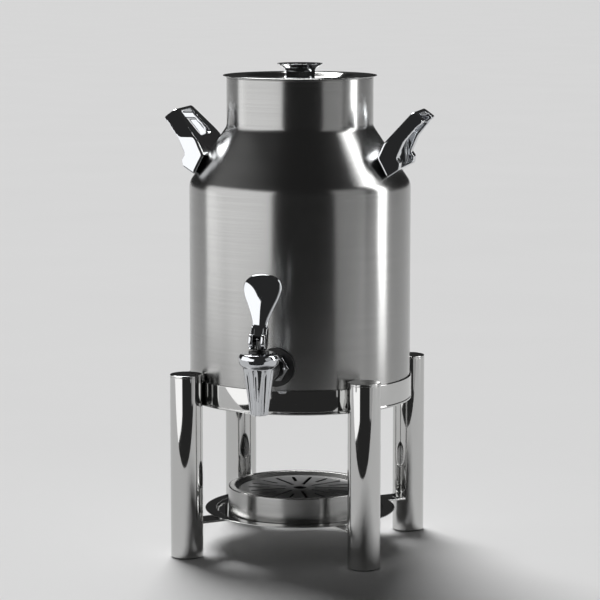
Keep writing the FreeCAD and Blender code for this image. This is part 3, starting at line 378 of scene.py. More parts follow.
# %% Turn a profile
def turned(profile, centre=(0, 0, 0), columns=192):
    """A profile swept round Z: x = r cos t, y = r sin t, z = z, about a centre in millimetres."""
    turn = np.linspace(0, 2 * math.pi, columns, endpoint=False)
    r, z = profile[:, 0, None], profile[:, 1, None]
    return np.stack([r * np.cos(turn), r * np.sin(turn), z + 0 * turn], axis=-1) + np.array(centre)


def spun(name, corners, finish, body, replaced=(), centre=(0, 0, 0), columns=192):
    """A turned piece. Corners that start and end on the axis close at its poles, others in a ring."""
    ring = corners[0][0] > 0
    profile = rounded(corners, closed=ring)
    return piece(name, [(turned(profile, centre, columns), ring)], finish, body, replaced)


print(f"turning three points gives a grid of {turned(np.zeros((3, 2))).shape}")

# %% [markdown]
# The can. On the real urn it is one drawn and spun shell, brushed after its seams are ground flush, so
# here it is a single profile: turned in at the foot, straight wall, cone, straight neck, and back down
# the inside one wall thickness away. Both walls of a bend share one centre, so the inner corner sits
# lower by the wall times (slope - height) / run, and its bend is tighter or wider by the wall.

# %% The can
WALL = 1.0
SEAM_DROP, SEAM_RISE = 10.0, 9.0
FOOT_BEND, LOW_BEND, HIGH_BEND = 5.0, 16.0, 12.0
shoulder = corners_of("shell_shoulder")
CAN, FOOT = corners_of("shell_body")[1, 0], corners_of("shell_body")[0, 2]
NECK, NECK_TOP = corners_of("shell_neck")[1, 0], corners_of("shell_neck")[1, 2]
LOW, HIGH = shoulder[0, 2] + SEAM_DROP, shoulder[1, 2] - SEAM_RISE
SHIFT = (math.hypot(CAN - NECK, HIGH - LOW) - (HIGH - LOW)) / (CAN - NECK)
DROP = WALL * SHIFT
COVER = corners_of("base_cover")[1, 0]
spun("can", [
    (COVER, FOOT), (CAN, FOOT, FOOT_BEND), (CAN, LOW, LOW_BEND), (NECK, HIGH, HIGH_BEND), (NECK, NECK_TOP),
    (NECK - WALL, NECK_TOP), (NECK - WALL, HIGH - DROP, HIGH_BEND + WALL),
    (CAN - WALL, LOW - DROP, LOW_BEND - WALL), (CAN - WALL, FOOT + WALL, FOOT_BEND - WALL),
    (COVER, FOOT + WALL)],
    "brushed_steel_skin", "urn", ["shell_body", "shell_shoulder", "shell_neck"], columns=256)

# %% [markdown]
# The tank and the base. Coffee is held in an inner tank, an air gap away from the can, and the tank's
# lip caps the can's neck. Its cone runs parallel to the can's, so its corners follow from the can's
# in the same way as the inner wall's. A pressed plate with one step closes the can below.

# %% The tank and the base
NECK_GAP, FLOOR_BEND, TANK_BEND = 1.6, 12.0, 9.0
TANK, TANK_FLOOR = corners_of("tank_body")[1, 0], corners_of("tank_body")[0, 2]
TANK_NECK, MOUTH = NECK - WALL - NECK_GAP, corners_of("tank_neck")[1, 2]
TANK_LOW = LOW - (CAN - TANK) * SHIFT
TANK_HIGH = TANK_LOW + (TANK - TANK_NECK) * (HIGH - LOW) / (CAN - NECK)
spun("tank", [
    (0, TANK_FLOOR), (TANK, TANK_FLOOR, FLOOR_BEND), (TANK, TANK_LOW, TANK_BEND),
    (TANK_NECK, TANK_HIGH, HIGH_BEND), (TANK_NECK, NECK_TOP), (NECK, NECK_TOP), (NECK, MOUTH),
    (TANK_NECK - WALL, MOUTH), (TANK_NECK - WALL, TANK_HIGH - DROP, HIGH_BEND + WALL),
    (TANK - WALL, TANK_LOW - DROP, TANK_BEND - WALL),
    (TANK - WALL, TANK_FLOOR + WALL, FLOOR_BEND - WALL), (0, TANK_FLOOR + WALL)],
    "plain_steel", "urn", ["tank_body", "tank_shoulder", "tank_neck"])
SHEET, STEP, RISE = 1.2, 92.0, 3.5
spun("base_plate", [
    (0, FOOT + RISE), (STEP - SHEET, FOOT + RISE, 1.5), (STEP - SHEET, FOOT, 0.5), (COVER, FOOT),
    (COVER, FOOT + SHEET), (STEP, FOOT + SHEET), (STEP, FOOT + RISE + SHEET), (0, FOOT + RISE + SHEET)],
    "plain_steel", "urn", ["base_cover"])

# %% [markdown]
# The lid: a thin spun disc with a dished middle, a pan below it that drops in the neck, and a soft
# seal in the pan's groove. The disc is brushed finer than the can and so mirrors more clearly, which
# needs a material of its own.

# %% The lid and its seal
LID, LID_TOP = corners_of("lid_disc")[1, 0], corners_of("lid_disc")[1, 2]
DISH, SLOPE, DISH_DEPTH, LID_BEND = 57.0, 6.0, 5.0, 4.0
LID_LOW, LID_FLOOR = LID_TOP - SHEET, LID_TOP - DISH_DEPTH
lid = spun("lid", [
    (0, LID_FLOOR - SHEET), (DISH - SLOPE, LID_FLOOR - SHEET, LID_BEND), (DISH + 0.5, LID_LOW, LID_BEND),
    (LID - SHEET, LID_LOW), (LID, LID_TOP - 0.3, 0.2), (LID - 0.6, LID_TOP, 0.3), (DISH, LID_TOP, LID_BEND),
    (DISH - SLOPE, LID_FLOOR, LID_BEND), (0, LID_FLOOR)],
    "brushed_steel_skin", "lid", ["lid_disc"])
lid.data.materials[0] = brushed_steel("fine_brushed_stainless_steel", SKIN, 0.13)
PAN, PAN_LOW, PAN_WALL = corners_of("lid_pan")[1, 0], corners_of("lid_pan")[0, 2], 2.0
GROOVE_DEPTH, HALF_GROOVE = 1.0, 1.5
groove = np.array([-HALF_GROOVE, HALF_GROOVE]) + (PAN_LOW + LID_LOW) / 2
spun("lid_inner_pan", [
    (0, PAN_LOW), (PAN, PAN_LOW, 3), (PAN, groove[0]), (PAN - GROOVE_DEPTH, groove[0]),
    (PAN - GROOVE_DEPTH, groove[1]), (PAN, groove[1]), (PAN, LID_LOW), (PAN - PAN_WALL, LID_LOW),
    (PAN - PAN_WALL, PAN_LOW + SHEET, 1), (0, PAN_LOW + SHEET)],
    "plain_steel", "lid", ["lid_pan"])
SEAL, SEAL_LIP = PAN + 0.5, PAN + 0.9
spun("lid_soft_seal", [
    (PAN - GROOVE_DEPTH, groove[0]), (SEAL, groove[0]), (SEAL_LIP, groove.mean(), 0.5), (SEAL, groove[1]),
    (PAN - GROOVE_DEPTH, groove[1])], "black_rubber", "lid", ["lid_seal"])

# %% [markdown]
# The knob is turned from bar and plated. From a straight waist it flares to a thin brim, and its top
# is turned a little hollow. The flare is one large bend close under the brim.

# %% The knob
KNOB, KNOB_TOP = corners_of("lid_knob")[1, 0], corners_of("lid_knob")[1, 2]
WAIST, FLARE, FLARE_BEND, BRIM, HOLLOW = 15.9, 5.0, 6.5, 0.9, 0.5
spun("lid_knob_turned", [
    (0, LID_FLOOR), (WAIST, LID_FLOOR), (WAIST, KNOB_TOP - FLARE, FLARE_BEND),
    (KNOB - 0.6, KNOB_TOP - BRIM, 0.4), (KNOB, KNOB_TOP, 0.2), (KNOB - 1, KNOB_TOP, 0.3),
    (KNOB - 3, KNOB_TOP - HOLLOW, 0.6), (0, KNOB_TOP - HOLLOW)],
    "chrome_casting", "lid", ["lid_knob"])

# %% [markdown]
# The band: a mirror-polished ring with a ledge inside it, which carries the urn. A bead and a narrow
# groove run round its foot. They are part of the same profile, since a fine dark line on a mirror
# needs a real edge to form it.

# %% The band
band, ledge = corners_of("support_ring"), corners_of("support_ledge")
BAND, BAND_LOW, BAND_TOP = band[1, 0] - 0.02, band[0, 2], band[1, 2]
BAND_IN, LEDGE_IN, LEDGE_TOP = ledge[1, 0], ledge[1, 0] - 16.0, ledge[1, 2]
BEAD, GROOVE_LOW, GROOVE_HIGH, PLAIN, CREASE = 2.2, 2.7, 2.9, 3.3, 0.5
spun("band", [
    (LEDGE_IN, BAND_LOW), (BAND, BAND_LOW, 1.0), (BAND, BAND_LOW + BEAD, 0.8),
    (BAND - CREASE, BAND_LOW + GROOVE_LOW, 0.2), (BAND - CREASE, BAND_LOW + GROOVE_HIGH, 0.2),
    (BAND, BAND_LOW + PLAIN, 0.3), (BAND, BAND_TOP, 0.5), (BAND_IN, BAND_TOP, 0.4), (BAND_IN, LEDGE_TOP),
    (LEDGE_IN, LEDGE_TOP)], "polished_steel", "stand", ["support_ring", "support_ledge"], columns=256)

# %% [markdown]
# Four closed tubes carry the band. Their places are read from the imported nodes, as the middles of
# their boxes. Each tube is closed by a flat cap, with a hairline joint a little below its top, and
# stands on a small plug of nylon. Caps and feet are each one piece of four turned grids.

# %% The tubes, their caps and feet
LEGS = ("front_right", "front_left", "back_left", "back_right")
TUBE, BORE, PLUG, PAD, PAD_TOP = 16.68, 14.7, 9.0, 14.5, 15.6
tube_low, tube_high = corners_of("leg_front_right")[:, 2]
CAP_TOP = corners_of("leg_caps")[1, 2]
tube_profile = rounded([(BORE, tube_low), (TUBE, tube_low), (TUBE, tube_high, 0.2), (BORE, tube_high)])
cap_profile = rounded([
    (0, tube_high - PLUG), (BORE, tube_high - PLUG), (BORE, tube_high, 0), (TUBE, tube_high, 0.2),
    (TUBE, CAP_TOP, 0.8), (0, CAP_TOP)], closed=False)
foot_profile = rounded([
    (0, 0), (PAD, 0, 0.4), (PAD_TOP, tube_low, 0.2), (BORE, tube_low, 0), (BORE, tube_low + PLUG),
    (0, tube_low + PLUG)], closed=False)
caps, feet = [], []
for leg in LEGS:
    spot = corners_of("leg_" + leg).mean(axis=0) * (1, 1, 0)
    piece("tube_" + leg, [(turned(tube_profile, spot, 96), True)], "polished_steel", "stand", ["leg_" + leg])
    caps.append((turned(cap_profile, spot, 96), False))
    feet.append((turned(foot_profile, spot, 64), False))
piece("tube_caps", caps, "polished_steel", "stand", ["leg_caps"])
piece("tube_feet", feet, "black_plastic", "stand", ["leg_feet"])

# %% [markdown]
# The dish between the legs carries the drip tray. It is pressed from the same polished sheet, with a
# raised flat rim, so its profile is a sheet that goes out along the bottom and comes back on top.

# %% The dish
plate = corners_of("tray_dish")
DISH_OUT, DISH_LOW, DISH_TOP, WELL = plate[1, 0], plate[0, 2], plate[1, 2], 88.0
spun("dish", [
    (0, DISH_LOW), (WELL, DISH_LOW, 3), (WELL + SHEET, DISH_TOP - SHEET), (DISH_OUT, DISH_TOP - SHEET, 0.5),
    (DISH_OUT, DISH_TOP, 0.5), (WELL, DISH_TOP, 0.6), (WELL - SHEET, DISH_LOW + SHEET, 1.8),
    (0, DISH_LOW + SHEET)], "polished_steel", "stand", ["tray_dish"])

# %% [markdown]
# The drip tray: a spun pan whose flat rim slopes in to a narrow seat for the grate. It is brushed
# like the can, and being turned too, it takes the same material with its UV map.

# %% The drip tray
pan_box = corners_of("drip_tray")
TRAY, TRAY_LOW, TRAY_TOP = pan_box[1, 0], pan_box[0, 2], pan_box[1, 2]
RIM, SEAT, SEAT_IN, SEAT_HEIGHT = TRAY - 6.5, TRAY - 11.0, TRAY - 15.7, TRAY_TOP - 5.0
spun("tray", [
    (0, TRAY_LOW), (TRAY, TRAY_LOW, 1.2), (TRAY, TRAY_TOP, 1.2), (RIM, TRAY_TOP, 0.8),
    (SEAT, SEAT_HEIGHT, 0.6), (SEAT_IN, SEAT_HEIGHT), (SEAT_IN, SEAT_HEIGHT - SHEET),
    (SEAT, SEAT_HEIGHT - SHEET),
    (RIM, TRAY_TOP - SHEET), (TRAY - SHEET, TRAY_TOP - SHEET), (TRAY - SHEET, TRAY_LOW + SHEET),
    (0, TRAY_LOW + SHEET)], "brushed_steel_skin", "drip_tray", ["drip_tray"])

# %% [markdown]
# The grate and the dish's arms. They are stamped from sheet, so their edges are slightly rolled over
# and catch the light. Their imported solids have just the right form but sharp edges. Those meshes are
# loose triangles, so a copy is merged first and its flat faces are joined up again. A Bevel modifier
# then rounds every edge that turns by more than a given angle. The grate is duller than the tray, and
# its steel colour is made darker, as painted shade for its place down in the tray.

# %% Soften the edges of a imported solid
SOLID_WELD, FLAT, BEVEL_ANGLE, BEVEL_STEPS = 2e-6, math.radians(0.5), math.radians(30), 2


def merged(name, node, join_flats):
    """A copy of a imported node's mesh with its triangles joined up, and at will its flat faces too."""
    builder = bmesh.new()
    builder.from_mesh(nodes[node].data)
    bmesh.ops.remove_doubles(builder, verts=builder.verts, dist=SOLID_WELD)
    if join_flats:
        bmesh.ops.dissolve_limit(builder, angle_limit=FLAT, verts=builder.verts, edges=builder.edges)
    mesh = bpy.data.meshes.new(name)
    builder.to_mesh(mesh)
    builder.free()
    return mesh


def softened(name, node, radius, body):
    """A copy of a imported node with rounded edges. radius is in millimetres."""
    thing = finished(name, merged(name, node, True), SLOT_OF[node], body, [node], sharp=60.0)
    thing.data.materials[0] = NODE_FINISHES[SLOT_OF[node]]
    bevel = thing.modifiers.new("soft_edges", "BEVEL")
    bevel.width, bevel.segments = radius * MM, BEVEL_STEPS
    bevel.limit_method, bevel.angle_limit = "ANGLE", BEVEL_ANGLE
    return thing


grate = softened("slotted_grate", "drip_grate", 0.25, "drip_grate")
# The grate's darker steel colour is painted shade for its place down in the tray; its higher roughness makes
# it duller.
grate.data.materials[0] = brushed_steel("shade_darkened_stainless_plate", "#737373", 0.34, run=0.01, spread=0)
for leg in LEGS:
    softened("arm_" + leg, "dish_arm_" + leg, 0.3, "stand")

# %% [markdown]
# The carrying handles are castings, and a casting has no sharp edge: it is ground and buffed by hand
# before it is plated. A bevel can't round them, because short edges stop it. So a copy of each
# solid is remade from even cells under a millimetre wide, and then relaxed: each round moves every
# point half way to the mean of its neighbours, which rounds edges and leaves flat faces flat.

# %% The carrying handles
CELL, ROUNDS = 0.7, 14


def buffed(name, node, body):
    """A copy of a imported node, its edges rounded by about CELL times the root of half the ROUNDS, in mm."""
    blank = bpy.data.objects.new(name + "_blank", merged(name, node, False))
    bpy.context.scene.collection.objects.link(blank)
    cells = blank.modifiers.new("cells", "REMESH")
    cells.mode, cells.voxel_size = "VOXEL", CELL * MM
    relax = blank.modifiers.new("relax", "SMOOTH")
    relax.factor, relax.iterations = 0.5, ROUNDS
    done = blank.evaluated_get(bpy.context.evaluated_depsgraph_get())
    mesh = bpy.data.meshes.new_from_object(done)
    bpy.data.objects.remove(blank)
    mesh.name = name
    finished(name, mesh, SLOT_OF[node], body, [node], sharp=75.0)


for side in ("right", "left"):
    buffed("carry_handle_" + side, "handle_" + side, "urn")

# %% [markdown]
# The tap's casting. The head and the spout are one turned profile, which comes back down inside
# through the chamber and the bore. The flutes need a row of points every millimetre or so, and a
# straight wall has points only at its ends, so long runs are divided first.

# %% The tap's profile
TAP = -190.0
tap = corners_of("tap_body")
TIP, HEAD_TOP = tap[0, 2], tap[1, 2]
HEAD_LOW, CHAMBER_LOW = HEAD_TOP - 14.4, TIP + 24.6
SPOUT_TOP, SPOUT_TIP, SPOUT_BORE, CHAMBER = 15.6, 8.9, 6.4, 10.0
HEAD_FOOT, HEAD, HEAD_BROW, HEAD_RIM = 19.4, 20.24, 18.4, 14.1
LONGEST_RUN = 0.9


def divided(line, step):
    """The same line with no run longer than step: each run gets evenly spaced points between its ends."""
    runs = []
    for start, end in zip(line[:-1], line[1:]):
        count = max(1, math.ceil(np.linalg.norm(end - start) / step))
        runs.append(start + (end - start) * np.arange(count)[:, None] / count)
    return np.concatenate(runs + [line[-1:]])


spout_profile = divided(rounded([
    (SPOUT_BORE, TIP, 0.4), (SPOUT_TIP, TIP, 0.8), (SPOUT_TOP, HEAD_LOW - 0.6, 1.0),
    (HEAD_FOOT, HEAD_LOW + 3.0, 5), (HEAD, HEAD_TOP - 5.0, 5), (HEAD_BROW, HEAD_TOP - 1.2, 3),
    (HEAD_RIM, HEAD_TOP, 3), (CHAMBER, HEAD_TOP, 0.3), (CHAMBER, CHAMBER_LOW),
    (SPOUT_BORE, CHAMBER_LOW)]), LONGEST_RUN)
print(f"head {2 * spout_profile[:, 0].max():.1f} mm wide")

# %% [markdown]
# Round the spout a cutter with a round nose has run ten flutes, which leave arched ends under the
# head. A flute is a circle of the cutter's radius, sunk by the depth of cut: where that circle is
# inside the spout's own radius, it sets the surface. That is one formula for the whole grid, and it
# leaves cleaner edges on a mirror than cutting the mesh would.

# %% The tap's head and its fluted spout
FLUTES, CUTTER, CUT = 10, 2.3, 1.15
ARCH_START, ARCH_LENGTH, SPOUT_WALL = HEAD_LOW - 9, 7.0, 1.5


def fluted(profile, columns=240):
    """The turned grid with its radius cut to min(r, r + cutter - depth - sqrt(cutter^2 - across^2))."""
    turn = np.linspace(0, 2 * math.pi, columns, endpoint=False)
    r, z = profile[:, 0, None], profile[:, 1, None]
    wall = np.interp(z, [TIP, HEAD_LOW - 1], [SPOUT_TIP, SPOUT_TOP])
    outside = (z < HEAD_LOW - 0.5) & (r > wall - SPOUT_WALL)
    nearest = (turn * FLUTES / (2 * math.pi)) % 1 - 0.5
    across = nearest * 2 * math.pi * r / FLUTES
    run_out = np.clip((z - ARCH_START) / ARCH_LENGTH, 0, 1)
    depth = CUT * np.sqrt(1 - run_out ** 2) - CUTTER * (run_out >= 1)
    sunk = r + CUTTER - depth - np.sqrt(np.clip(CUTTER ** 2 - across ** 2, 0, None))
    radius = np.where(outside & (np.abs(across) < CUTTER), np.minimum(r, sunk), r)
    return np.stack([radius * np.cos(turn), radius * np.sin(turn) + TAP, z + 0 * turn], axis=-1)


piece("tap_head_and_spout", [(fluted(spout_profile), True)], "chrome_casting", "urn", ["tap_body"],
      sharp=50.0)

# %% [markdown]
# Behind the head a horn narrows from a hexagon, which a spanner turns, to the head. The horn is a row
# of circles whose radius falls quickly at first and whose centres sink a little. The hexagon is a
# stack of six-cornered rows, inset at the back edge and more so at the front, where its corners are
# turned down to meet the horn. It needs few points, because all its faces are flat.

# %% The horn and the hexagon
LEVEL, GASKET_FRONT, HEX, HEX_FRONT = 206.0, -118.0, 14.8, -127.0
HORN, HORN_SWELL, HORN_SINK = 9.2, 2.2, 4.0
HEX_ROWS = np.array([(0.5, 0), (0, 0.5), (0, 5.2), (0.5, 5.9), (3.6, 9.0)])


def horn(count=28, columns=64):
    """Circles across Y: x = r cos a, z = height + r sin a, with r = HORN + HORN_SWELL (1 - t)^2."""
    t = np.linspace(0, 1, count)[:, None]
    turn = np.linspace(0, 2 * math.pi, columns, endpoint=False)
    radius = HORN + HORN_SWELL * (1 - t) ** 2
    y = HEX_FRONT + 1 + (TAP - HEX_FRONT - 1) * t
    height = LEVEL - HORN_SINK * t * t
    return np.stack([radius * np.cos(turn), y + 0 * turn, height + radius * np.sin(turn)], axis=-1)


def hexagon():
    """Six corners a row: each row of HEX_ROWS is (inset from the corner radius, depth along -Y)."""
    turn = np.radians(np.arange(0, 360, 60))
    radius, depth = HEX - HEX_ROWS[:, 0, None], HEX_ROWS[:, 1, None]
    y = GASKET_FRONT - depth + 0 * turn
    return np.stack([radius * np.cos(turn), y, LEVEL + radius * np.sin(turn)], axis=-1)


piece("tap_horn", [(horn(), False)], "chrome_casting", "urn")
piece("tap_hexagon", [(hexagon(), False)], "chrome_casting", "urn", sharp=20.0)

# %% [markdown]
# The gasket is a soft ring pressed against a round wall, so its back follows the can: a point at
# distance x from the middle sits at y = -sqrt(can^2 - x^2). Behind it the shank runs through both
# walls, with a thread for the nut inside: its radius falls and rises in a triangle wave that climbs
# one pitch a turn.

# %% The gasket and the shank
GASKET, SHANK, PASSAGE, SHANK_END = 19.8, 10.5, 6.5, -85.0
PITCH, THREAD, THREAD_START = 1.8, 0.55, 10.0
TURN = np.linspace(0, 2 * math.pi, 128, endpoint=False)


def gasket():
    """A ring between the can at y = -sqrt(CAN^2 - x^2) and the flat front: y goes from one to the other."""
    profile = rounded([(SHANK, 0), (GASKET, 0, 0.05), (GASKET, 1, 0.25), (SHANK, 1)])
    x, z = profile[:, 0, None] * np.cos(TURN), profile[:, 0, None] * np.sin(TURN)
    back = -np.sqrt(CAN ** 2 - x ** 2)
    return np.stack([x, back + (GASKET_FRONT - back) * profile[:, 1, None], z + LEVEL], axis=-1)


def shank():
    """A tube along Y: r = SHANK - THREAD |2 ((y / PITCH + turn) mod 1) - 1|, then back through its bore."""
    y = np.linspace(SHANK_END, GASKET_FRONT, 170)[:, None]
    wave = np.abs((y / PITCH + TURN / (2 * math.pi)) % 1 - 0.5) * 2
    radius = SHANK - THREAD * wave * (y > THREAD_START - CAN)
    outer = np.stack([radius * np.cos(TURN), y + 0 * radius, radius * np.sin(TURN) + LEVEL], axis=-1)
    inner = np.stack([PASSAGE * np.cos(TURN), 0 * TURN, PASSAGE * np.sin(TURN) + LEVEL], axis=-1)
    return np.concatenate([outer, inner[None] + (0, GASKET_FRONT, 0), inner[None] + (0, SHANK_END, 0)])


piece("soft_gasket", [(gasket(), True)], "black_rubber", "urn", ["tap_gasket"])
piece("threaded_shank", [(shank(), True)], "plain_steel", "urn", ["tap_shank"], sharp=50.0)

# %% [markdown]
# On the tap's upright axis, from below: the soft cup that shuts the bore, the stem, and the black
# bonnet that guides it. The stem has two narrow grooves above the bonnet, for clips. All three are
# turned, with fewer columns than the can because they are small.

# %% The bonnet, the stem and the cup
AXIS = (0, TAP, 0)
bonnet, stem, cup = corners_of("tap_bonnet"), corners_of("tap_stem"), corners_of("seat_cup")
STEM, BONNET, BOSS, FLANGE = 3.4, 10.2, 6.2, 2
GUIDE = STEM + 0.1
spun("bonnet", [
    (GUIDE, bonnet[0, 2]), (CHAMBER, bonnet[0, 2]), (CHAMBER, HEAD_TOP), (BONNET, HEAD_TOP),
    (BONNET, HEAD_TOP + FLANGE, 0.8), (BOSS, HEAD_TOP + FLANGE, 0.4), (BOSS, bonnet[1, 2], 0.6),
    (GUIDE, bonnet[1, 2])], "black_plastic", "urn", ["tap_bonnet"], AXIS, 96)
CLIP_STARTS, CLIP_DEPTH = (0.9, 2.4), 0.45
grooves = [(r, bonnet[1, 2] + rise, 0.04) for start in CLIP_STARTS for r, rise in (
    (STEM, start), (STEM - CLIP_DEPTH, start + 0.05), (STEM - CLIP_DEPTH, start + 0.55), (STEM, start + 0.6))]
spun("stem", [(0, stem[0, 2]), (STEM, stem[0, 2]), *grooves, (STEM, stem[1, 2], 1.2), (0, stem[1, 2])],
     SLOT_OF["tap_stem"], "stem", ["tap_stem"], AXIS, 64)
CUP, CUP_FACE, CUP_TOP, SOCKET = 8.8, 7.3, 6.3, 2
spun("soft_seat_cup", [
    (0, cup[0, 2]), (CUP_FACE, cup[0, 2], 0.6), (CUP, cup[0, 2] + 1.5, 0.6), (CUP, cup[1, 2] - 2, 0.6),
    (CUP_TOP, cup[1, 2], 0.5), (STEM, cup[1, 2]), (STEM, cup[0, 2] + SOCKET), (0, cup[0, 2] + SOCKET)],
    "black_rubber", "stem", ["seat_cup"], AXIS, 64)

# %% [markdown]
# The spring between the cup and the bonnet is wound from round wire: a circle carried along a helix.
# When the stem rises, the spring's foot rises with the cup and its head stays under the bonnet. A rigid
# copy would run into the bonnet, and here the spring is such a rigid piece, carried by the stem, with a mesh
# of its own.

# %% The spring
COIL, WIRE, TURNS, TRAVEL, SPRING_GAP = 5.6, 0.6, 4.0, 3.4, 0.1
coil_low, coil_high = cup[1, 2] + WIRE + SPRING_GAP, bonnet[0, 2] - WIRE - SPRING_GAP


def helix(count=240, sides=12):
    """Points (reach cos a, reach sin a, rise a), reach = COIL + WIRE cos b, lifted by WIRE sin b."""
    way = np.linspace(0, 1, count)[:, None]
    around = np.linspace(0, 2 * math.pi, sides, endpoint=False)
    reach, angle = COIL + WIRE * np.cos(around), 2 * math.pi * TURNS * way
    z = coil_low + (coil_high - coil_low) * way + WIRE * np.sin(around)
    return np.stack([reach * np.cos(angle), reach * np.sin(angle) + TAP, z], axis=-1)


spring = piece("wound_spring", [(helix(), False)], SLOT_OF["tap_spring"], "stem", ["tap_spring"])
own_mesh(spring)
print(f"spring {coil_high - coil_low + 2 * WIRE:.1f} mm long")

# %% [markdown]
# The lever. Its paddle is a teardrop: sections across it grow from the neck to a broad top and shrink
# again over the last few millimetres. Each section is a superellipse, a little squarer than an
# ellipse, which gives the front a nearly flat face and quick edges. A smooth curve through a few
# chosen rows, each (share of the length, of the width, of the thickness), gives the sections.

# %% The paddle
PIVOT = corners_of("lever_pin").mean(axis=0)
NECK_LENGTH, PADDLE, WIDTH, THICKNESS, LEAN = 15.5, 53.0, 38.0, 9.4, math.radians(18.0)
SHARES = np.array([
    (0.0, 0.379, 0.915), (0.16, 0.458, 0.936), (0.36, 0.663, 0.979), (0.56, 0.889, 1.0), (0.74, 1.0, 0.957),
    (0.87, 0.9, 0.851), (0.95, 0.653, 0.66), (0.99, 0.33, 0.36), (1.0, 0.0, 0.0)])


def smooth(points, count):
    """A curve through points: four neighbours are added up with cubic weights f of the way to the next."""
    far = np.vstack([2 * points[0] - points[1], points, 2 * points[-1] - points[-2]])
    way = np.linspace(0, len(points) - 1, count)
    step = np.minimum(way.astype(int), len(points) - 2)
    f = (way - step)[:, None]
    a, b, c, d = far[step], far[step + 1], far[step + 2], far[step + 3]
    bend, twist = 2 * a - 5 * b + 4 * c - d, 3 * b - a - 3 * c + d
    return 0.5 * (2 * b + (c - a) * f + bend * f ** 2 + twist * f ** 3)


def superellipse(count, power=2.4):
    """Points (cos t, sin t) with each raised to 2 / power, which keeps its sign."""
    turn = np.linspace(0, 2 * math.pi, count, endpoint=False)
    wave = np.stack([np.cos(turn), np.sin(turn)], axis=-1)
    return np.sign(wave) * np.abs(wave) ** (2 / power)


def paddle(rows=90, columns=96):
    """A superellipse at each height, as wide and as thick as the smooth curve through SHARES says."""
    shares, section = np.clip(smooth(SHARES, rows), 0, None), superellipse(columns)
    height = NECK_LENGTH + PADDLE * shares[:, 0, None] + 0 * section[:, 0]
    across = shares[:, 1, None] * WIDTH / 2 * section[:, 0]
    through = shares[:, 2, None] * THICKNESS / 2 * section[:, 1]
    return np.stack([across, through, height], axis=-1)


print(f"paddle {2 * paddle()[..., 0].max():.1f} mm wide")

# %% [markdown]
# Flat cast pieces are slabs here: an outline given a thickness, with its edges rolled by a quarter
# circle. The whole lever is made upright about its pin, which keeps its numbers plain, and is then
# leaned back and moved to the pin.

# %% Slabs with rolled edges
def slab(outline, low, high, roll, steps=4):
    """A thick outline: near each face it is inset by roll (1 - sin t) at height roll (1 - cos t)."""
    run = np.roll(outline, -1, axis=0) - np.roll(outline, 1, axis=0)
    outward = np.stack([run[:, 1], -run[:, 0]], axis=-1) / np.linalg.norm(run, axis=1)[:, None]
    after = np.roll(outline, -1, axis=0)
    area = np.sum(outline[:, 0] * after[:, 1] - outline[:, 1] * after[:, 0])
    outward = outward * math.copysign(1, area)
    t = np.linspace(0, math.pi / 2, steps)
    inset = np.concatenate([roll * (1 - np.sin(t)), roll * (1 - np.sin(t[::-1]))])
    level = np.concatenate([low + roll * (1 - np.cos(t)), high - roll * (1 - np.cos(t[::-1]))])
    flat = outline[None] - inset[:, None, None] * outward[None]
    return np.concatenate([flat, np.broadcast_to(level[:, None, None], (*flat.shape[:2], 1))], axis=-1)


def leaned(points):
    """From the lever's own axes to the urn's: turned about X by the lean, then moved to the pin."""
    x, y, z = points[..., 0], points[..., 1], points[..., 2]
    up = z * math.cos(LEAN) - y * math.sin(LEAN)
    back = y * math.cos(LEAN) + z * math.sin(LEAN)
    return np.stack([x, back, up], axis=-1) + PIVOT


print(f"the lever leans back {math.degrees(LEAN):.0f} degrees")

# %% [markdown]
# Below the paddle is the fork. Two cheeks straddle the stem, each with an eye for the pin and a round
# cam in front of it, and an arched bridge joins them under the paddle's neck. The cheeks are slabs
# across X and the bridge is a slab across Y.

# %% The fork
CHEEK_IN, CHEEK_OUT, CHEEK_NECK, CHEEK_ROLL = 4.2, 8.0, 4.2, 0.6
CAM, CAM_OUT, HEEL = 7.0, -5.0, 6.0
cheek = rounded([
    (CHEEK_NECK, NECK_LENGTH, 1.5), (-CHEEK_NECK, NECK_LENGTH, 1.5), (-5.4, CAM, 1.5),
    (CAM_OUT - CAM, CAM, CAM), (CAM_OUT - CAM, -CAM, CAM), (1.8, -CAM, 5.5), (HEEL, -0.6, 2.5)])
right_cheek = slab(cheek, CHEEK_IN, CHEEK_OUT, CHEEK_ROLL)[..., [2, 0, 1]]
left_cheek = right_cheek * (-1, 1, 1)
ARCH, ARCH_FOOT, BRIDGE_TOP, BRIDGE_HALF, BRIDGE_ROLL = 5.0, 3, 7.4, 4.4, 0.9
arch = rounded([
    (-CHEEK_OUT, ARCH - ARCH_FOOT), (-CHEEK_IN, ARCH - ARCH_FOOT), (-CHEEK_IN, ARCH, 3.3),
    (CHEEK_IN, ARCH, 3.3), (CHEEK_IN, ARCH - ARCH_FOOT), (CHEEK_OUT, ARCH - ARCH_FOOT),
    (BRIDGE_TOP, NECK_LENGTH + 2, 2), (-BRIDGE_TOP, NECK_LENGTH + 2, 2)])
bridge = slab(arch, -BRIDGE_HALF, BRIDGE_HALF, BRIDGE_ROLL)[..., [0, 2, 1]]
piece("lever_casting", [(leaned(grid), False) for grid in (paddle(), right_cheek, left_cheek, bridge)],
      "chrome_casting", "lever", ["tap_lever"], sharp=50.0)

# %% [markdown]
# The table. The urn stands near the front edge of a wide pale table, so its sides mirror the bright
# top, and its front mirrors the dim room beyond the edge. That is what makes the dark bands on the
# can and the tubes. The laminate is very matt, or it would mirror the lamps as bright patches.

# %% The table and the room
def table_material(name, base):
    """Matt white laminate: a broad noise tints it by one part in fifty either way."""
    material, tree, shader, place = new_material(name)
    mottle = add(tree, "TexNoise", {"Vector": place, "Scale": 3.0, "Detail": 4.0})
    tint = add(tree, "ValToRGB", {"Fac": mottle.outputs["Fac"]})
    for stop, share in zip(tint.color_ramp.elements, (0.98, 1.02)):
        stop.color = colour(base, share)
    tree.links.new(tint.outputs["Color"], shader.inputs["Base Color"])
    shader.inputs["Roughness"].default_value = 0.9
    shader.inputs["Specular IOR Level"].default_value = 0.1
    return material


